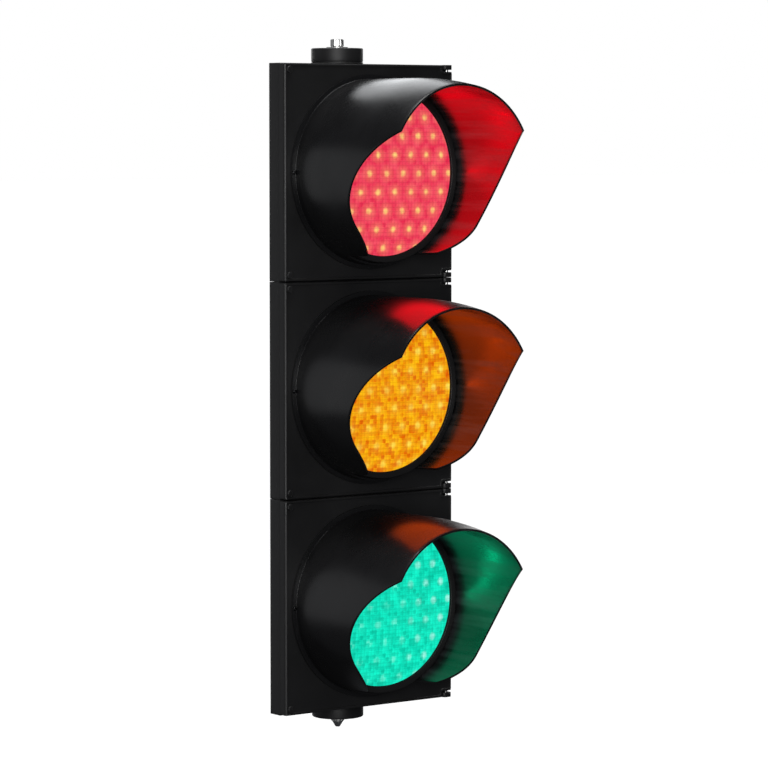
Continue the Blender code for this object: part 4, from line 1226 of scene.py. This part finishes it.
def threaded(radius, low, high, pitch=1.25 * MM):
    """A screw thread: radius less a triangle wave of height/pitch - angle/turn, faded at both ends."""
    rows = int((high - low) / (pitch / 5)) + 2
    height = np.linspace(low, high, rows)[:, None]
    angle = full_turn(48)[None]
    phase = (height / pitch - angle / (2 * np.pi)) % 1.0
    ridge = np.abs(2 * phase - 1)
    fade = smooth(height, low, low + pitch) * (1 - smooth(height, high - pitch, high))
    r = radius - 0.55 * pitch * (1 - ridge * fade)
    grid = np.stack(np.broadcast_arrays(r * np.cos(angle), r * np.sin(angle), height), axis=-1)
    ends = [grid[:1] * (0.0, 0.0, 1.0), grid[-1:] * (0.0, 0.0, 1.0)]
    return np.concatenate([ends[0], grid, ends[1]]), False, True


def cap_mesh(end, sign):
    """The hollow round cap: one closed profile with soft edges, turned about the cap axis."""
    radius, tall, under = CAP_RADIUS, CAP_HEIGHT, CAP_HEIGHT - 4 * MM
    recess, seat, start = tall - 0.8 * MM, 13.5 * MM, 12 * MM
    groove, groove_low, groove_high = radius - 0.7 * MM, 2.2 * MM, 3.2 * MM
    spigot, reach = 20 * MM, -3 * MM
    inner = spigot + reach
    profile = softened([
        (start, recess), (seat, recess, 0.3 * MM), (seat, tall, 0.3 * MM), (radius, tall, 1.4 * MM),
        (radius, groove_high, 0.5 * MM), (groove, groove_high, 0.3 * MM), (groove, groove_low, 0.3 * MM),
        (radius, groove_low, 0.5 * MM), (radius, 0.0, 0.5 * MM), (spigot, 0.0, 0.3 * MM),
        (spigot, reach, 0.6 * MM), (inner, reach, 0.6 * MM), (inner, under, 2 * MM),
        (BOLT_HOLE, under, 0.4 * MM), (BOLT_HOLE, recess, 0.4 * MM), (start, recess)], 5)
    place = (0.0, 0.0, end)
    return mesh_of([upright(turned(profile[:-1], 144, True), place, sign)])


def washer_mesh(node):
    """A flat washer or plate with a bolt hole and soft edges, in the box of its CAD node."""
    low, high = corners_of(node)
    outer, soft = high[0], 0.3 * MM
    profile = softened([
        (outer / 2, high[2]), (outer, high[2], soft), (outer, low[2], soft), (BOLT_HOLE, low[2], soft),
        (BOLT_HOLE, high[2], soft), (outer / 2, high[2])])
    return mesh_of([turned(profile[:-1], 96, True)])


def bolt_mesh(node):
    """A hexagonal head at the top of the node's box and a threaded shank down to its lowest point."""
    low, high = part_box(node)
    seat = high.z - BOLT_HEAD
    head = hexagon(BOLT_FLATS, seat, high.z, 0.8 * MM)
    return joined(mesh_of([head]), mesh_of([threaded(BOLT_RADIUS, low.z, seat + 0.5 * MM)]))


def cap_nut_mesh(node):
    """A hexagonal nut that ends in a blunt cone."""
    low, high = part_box(node)
    nut = hexagon(BOLT_FLATS, high.z - 6.5 * MM, high.z, 0.7 * MM)
    wide, start = 6.1 * MM, high.z - 6 * MM
    cone = turned(softened([
        (0.0, start), (wide, start), (wide, start - 0.9 * MM, 0.4 * MM), (2.4 * MM, low.z, 1.2 * MM),
        (0.0, low.z)], 5), 72)
    return joined(mesh_of([nut]), mesh_of([cone]))


class SIGNAL_OT_caps(Operator):
    """Build the mounting caps with their washers, clamp plates, bolts and nuts"""
    bl_idname = "signal_head.caps"
    bl_label = "Mounting caps"

    def execute(self, context):
        def add_steel(piece, mesh, node):
            """A steel piece of the stack."""
            add_to_stack(piece, mesh, "zinc_steel", node)

        for end, sign in (("top", 1.0), ("bottom", -1.0)):
            low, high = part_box(f"{end}_cap")
            face = high.z if sign > 0 else low.z
            cap = cap_mesh(face - sign * CAP_HEIGHT, sign)
            add_to_stack(f"{end}_cap_round", cap, "housing_black", f"{end}_cap")
            add_steel(f"{end}_plate", washer_mesh(f"{end}_clamp_plate"), f"{end}_clamp_plate")
        add_steel("top_washer_flat", washer_mesh("top_washer"), "top_washer")
        add_steel("top_bolt_hex", bolt_mesh("top_bolt"), "top_bolt")
        low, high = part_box("top_nut")
        add_steel("top_nut_hex", mesh_of([hexagon(BOLT_FLATS, low.z, high.z, 0.7 * MM)]), "top_nut")
        add_steel("bottom_bolt_hex", bolt_mesh("bottom_bolt"), "bottom_bolt")
        add_steel("bottom_nut_cone", cap_nut_mesh("bottom_cap_nut"), "bottom_cap_nut")
        return {"FINISHED"}


def nut_ring(flats, bore, low, high):
    """A hexagonal ring: outer rows on the hexagon, corners cut by a cone, and inner rows on the bore."""
    angle = full_turn(96)
    side = flats / 2 / np.cos((angle + np.pi / 6) % (np.pi / 3) - np.pi / 6)
    cut = np.minimum(side, flats / 2 + 0.6 * MM)
    edge = 0.8 * MM
    rows = [
        (cut, low), (side, low + edge), (side, high - edge), (cut, high), (bore + 0 * angle, high),
        (bore + 0 * angle, low)]
    return rows_round(angle, rows), True, True


class SIGNAL_OT_couplers(Operator):
    """Build the wiring couplers between the sections and their locknuts"""
    bl_idname = "signal_head.couplers"
    bl_label = "Couplers"

    def execute(self, context):
        for label in ("red_amber", "amber_green"):
            low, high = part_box(f"{label}_coupler")
            under = high.z - 3 * MM
            profile = softened([
                (COUPLER_BORE, low.z, 0.6 * MM), (COUPLER_BORE, high.z, 0.8 * MM), (high.x, high.z, 0.6 * MM),
                (high.x, under, 0.4 * MM), (COUPLER_SLEEVE, under), (COUPLER_SLEEVE, low.z, 0.8 * MM),
                (COUPLER_BORE, low.z)], 4)
            sleeve = mesh_of([turned(profile[:-1], 96, True)])
            add_to_stack(f"{label}_coupler_sleeve", sleeve, "nylon_grey", f"{label}_coupler")
            low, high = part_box(f"{label}_coupler_nut")
            ring = mesh_of([nut_ring(LOCKNUT_FLATS, LOCKNUT_BORE, low.z, high.z)])
            add_to_stack(f"{label}_locknut", ring, "nylon_grey", f"{label}_coupler_nut")
        return {"FINISHED"}


class SIGNAL_OT_terminals(Operator):
    """Build the terminal block with its wire ways and clamp screws"""
    bl_idname = "signal_head.terminals"
    bl_label = "Terminal block"

    def execute(self, context):
        low, high = corners_of("terminal_block")
        ways, gap = 6, 7.0 * MM
        pitch = (high[0] - low[0]) / ways
        deep = low[1] + 5 * MM
        parts = [brick((low[0], deep, low[2]), high)]
        edges = low[0] + pitch * (np.arange(ways + 1))
        for i, x in enumerate(edges):
            left = x if i == 0 else x - (pitch - gap) / 2
            right = x if i == ways else x + (pitch - gap) / 2
            parts.append(brick((left, low[1], low[2]), (right, deep + 0.5 * MM, high[2])))
        body = finished(joined(*(mesh_of([part]) for part in parts)), 0.0, 0.35 * MM)

        def slot(x, y):
            """A straight slot."""
            return 0.6 * MM * (1 - smooth(np.abs(x), 0.3 * MM, 0.5 * MM))

        head = button(2.6 * MM, 1.6 * MM, 0.4 * MM, slot, 14, 32)
        heads = [
            mesh_of([forward(head, (x, deep, z))])
            for x in edges[:-1] + pitch / 2 for z in (low[2] + 5 * MM, high[2] - 5 * MM)]
        add_to_stack("terminal_block_body", body, "block_cream", "terminal_block")
        add_piece("terminal_screws", joined(*heads), "housing_stack", finish_of("zinc_steel"))
        return {"FINISHED"}


# Stage

def aim(thing, target):
    """Turns a camera or light to look at a point."""
    thing.rotation_euler = (Vector(target) - thing.location).to_track_quat("-Z", "Y").to_euler()


def add_light(name, place, target, size, power, colour_of=(1.0, 1.0, 1.0)):
    """A soft rectangular light that faces a point."""
    data = bpy.data.lights.new(name, "AREA")
    data.shape = "RECTANGLE"
    data.size, data.size_y = size
    data.energy = power
    data.color = colour_of
    made = new_object(name, data)
    made.location = place
    aim(made, target)
    made.visible_camera = False


def add_floor(looks):
    """A flat pale sheet below the head: a regular grid at one level."""
    level = CAD_BOX[0].z - looks.floor_drop
    across = np.linspace(-FLOOR_REACH, FLOOR_REACH, 5)
    x, y = np.meshgrid(across, across, indexing="ij")
    grid = np.stack([x, y, np.full_like(x, level)], axis=-1)
    mesh = bpy.data.meshes.new("floor")
    mesh.from_pydata(grid.reshape(-1, 3).tolist(), [], quads(*grid.shape[:2], False, False).tolist())
    mesh.shade_smooth()
    made = new_object("floor", mesh)
    material, tree, shader, coordinates = new_material("floor_paper")
    soft = noise(tree, coordinates.outputs["Object"], 3.0, 3.0)
    paper = mixed(tree, soft, tuple(looks.floor), [c * 0.97 for c in looks.floor])
    feed(tree, shader, Base_Color=paper)
    shader.inputs["Roughness"].default_value = 0.9
    mesh.materials.append(material)
    made.visible_glossy = False
    made.visible_diffuse = False


def add_world():
    """White behind everything that the camera sees, and a dim grey for reflections."""
    world = bpy.data.worlds.new("studio")
    bpy.context.scene.world = world
    world.use_nodes = True
    tree = world.node_tree
    tree.nodes.clear()
    path = tree.nodes.new("ShaderNodeLightPath")
    shade = mixed(tree, path.outputs["Is Camera Ray"], DIM_GREY, (1.0, 1.0, 1.0))
    background = add_node(tree, "ShaderNodeBackground", None, Color=shade)
    output = tree.nodes.new("ShaderNodeOutputWorld")
    tree.links.new(background.outputs[0], output.inputs[0])


class SIGNAL_OT_stage(Operator):
    """Set the camera, the pale floor and the soft lights"""
    bl_idname = "signal_head.stage"
    bl_label = "Stage"

    def execute(self, context):
        scene = context.scene
        looks = scene.stage_looks
        scene.view_settings.view_transform = "Standard"
        middle = place_of("amber")
        target = middle + AIM
        turn, rise = math.radians(looks.azimuth), math.radians(looks.elevation)
        back = np.array([math.sin(turn) * math.cos(rise), -math.cos(turn) * math.cos(rise), math.sin(rise)])
        data = bpy.data.cameras.new("camera")
        data.lens, data.sensor_width = looks.focal, 36.0
        data.clip_end = 200.0
        camera = new_object("camera", data)
        camera.location = target + back * looks.distance
        aim(camera, target)
        scene.camera = camera
        add_floor(looks)
        add_world()
        sun = bpy.data.lights.new("overhead", "SUN")
        sun.energy, sun.angle = 3.6, math.radians(50.0)
        new_object("overhead", sun)
        raised = middle + (0.0, 0.0, 0.3)
        add_light("back_box", middle + (1.15, 2.5, 1.5), raised, (1.4, 2.3), 22.0, (0.96, 0.98, 1.0))
        add_light("front_box", middle + (-1.9, -2.5, 0.38), middle, (1.6, 1.4), 52.0)
        add_light("left_panel", middle + (-2.3, 2.1, 0.1), middle, (3.0, 2.2), 6.8, (0.97, 0.98, 1.0))
        add_light("right_panel", middle + (2.4, 1.6, 0.3), middle, (1.2, 2.0), 14.0)
        add_light("rear_panel", middle + (0.5, 3.2, -0.1), middle, (1.6, 1.4), 16.0)
        self.add_glow(context)
        return {"FINISHED"}

    def add_glow(self, context):
        """The light of each lens: a disc before its face, and a bar on its middle row of LEDs."""
        looks = context.scene.stage_looks
        wide = 2 * context.scene.door_sizes.aperture
        for name, power, share in zip(COLOURS, looks.glow, looks.row_share):
            face = corners_of(f"{name}_lens")[0][1]
            shapes = {
                "disc": ("DISK", wide - 1 * MM, 0.0, power, 1.5 * MM),
                "bar": ("RECTANGLE", wide - 6 * MM, 5 * MM, power * share, 2.5 * MM),
            }
            for part, (shape, across, high, energy, ahead) in shapes.items():
                data = bpy.data.lights.new(f"{name}_glow_{part}", "AREA")
                data.shape, data.size, data.size_y = shape, across, high
                data.color, data.energy = GLOW_HUES[name], energy
                made = new_object(f"{name}_glow_{part}", data)
                made.location = place_of(name)
                made.location.y = face - ahead
                made.rotation_euler.x = math.radians(-90.0)
                made.visible_camera = False
                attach(made, f"{name}_door_assembly")


class SIGNAL_PT_panel(Panel):
    """The pieces of the signal head and their sizes"""
    bl_label = "Signal Head"
    bl_idname = "SIGNAL_PT_panel"
    bl_space_type = "VIEW_3D"
    bl_region_type = "UI"
    bl_category = "Signal Head"

    def draw(self, context):
        for operator in OPERATORS:
            self.layout.operator(operator.bl_idname)
        for attribute, group in GROUPS.items():
            box = self.layout.box()
            box.label(text=group.__doc__)
            for key in group.__annotations__:
                box.prop(getattr(context.scene, attribute), key)


GROUPS = {
    "housing_sizes": HousingSizes,
    "door_sizes": DoorSizes,
    "visor_sizes": VisorSizes,
    "lens_sizes": LensSizes,
    "finish_looks": FinishLooks,
    "stage_looks": StageLooks,
}
OPERATORS = (
    SIGNAL_OT_stage, SIGNAL_OT_housings, SIGNAL_OT_doors, SIGNAL_OT_seals, SIGNAL_OT_latches,
    SIGNAL_OT_visors, SIGNAL_OT_screws, SIGNAL_OT_lenses, SIGNAL_OT_modules, SIGNAL_OT_caps,
    SIGNAL_OT_couplers, SIGNAL_OT_terminals,
)


def register():
    for group in GROUPS.values():
        bpy.utils.register_class(group)
    for operator in OPERATORS:
        bpy.utils.register_class(operator)
    bpy.utils.register_class(SIGNAL_PT_panel)
    for attribute, group in GROUPS.items():
        setattr(bpy.types.Scene, attribute, PointerProperty(type=group))


def unregister():
    for attribute in GROUPS:
        delattr(bpy.types.Scene, attribute)
    bpy.utils.unregister_class(SIGNAL_PT_panel)
    for operator in reversed(OPERATORS):
        bpy.utils.unregister_class(operator)
    for group in reversed(GROUPS.values()):
        bpy.utils.unregister_class(group)


def main():
    register()
    for operator in OPERATORS:
        category, name = operator.bl_idname.split(".")
        getattr(getattr(bpy.ops, category), name)()


if __name__ == "__main__":
    main()
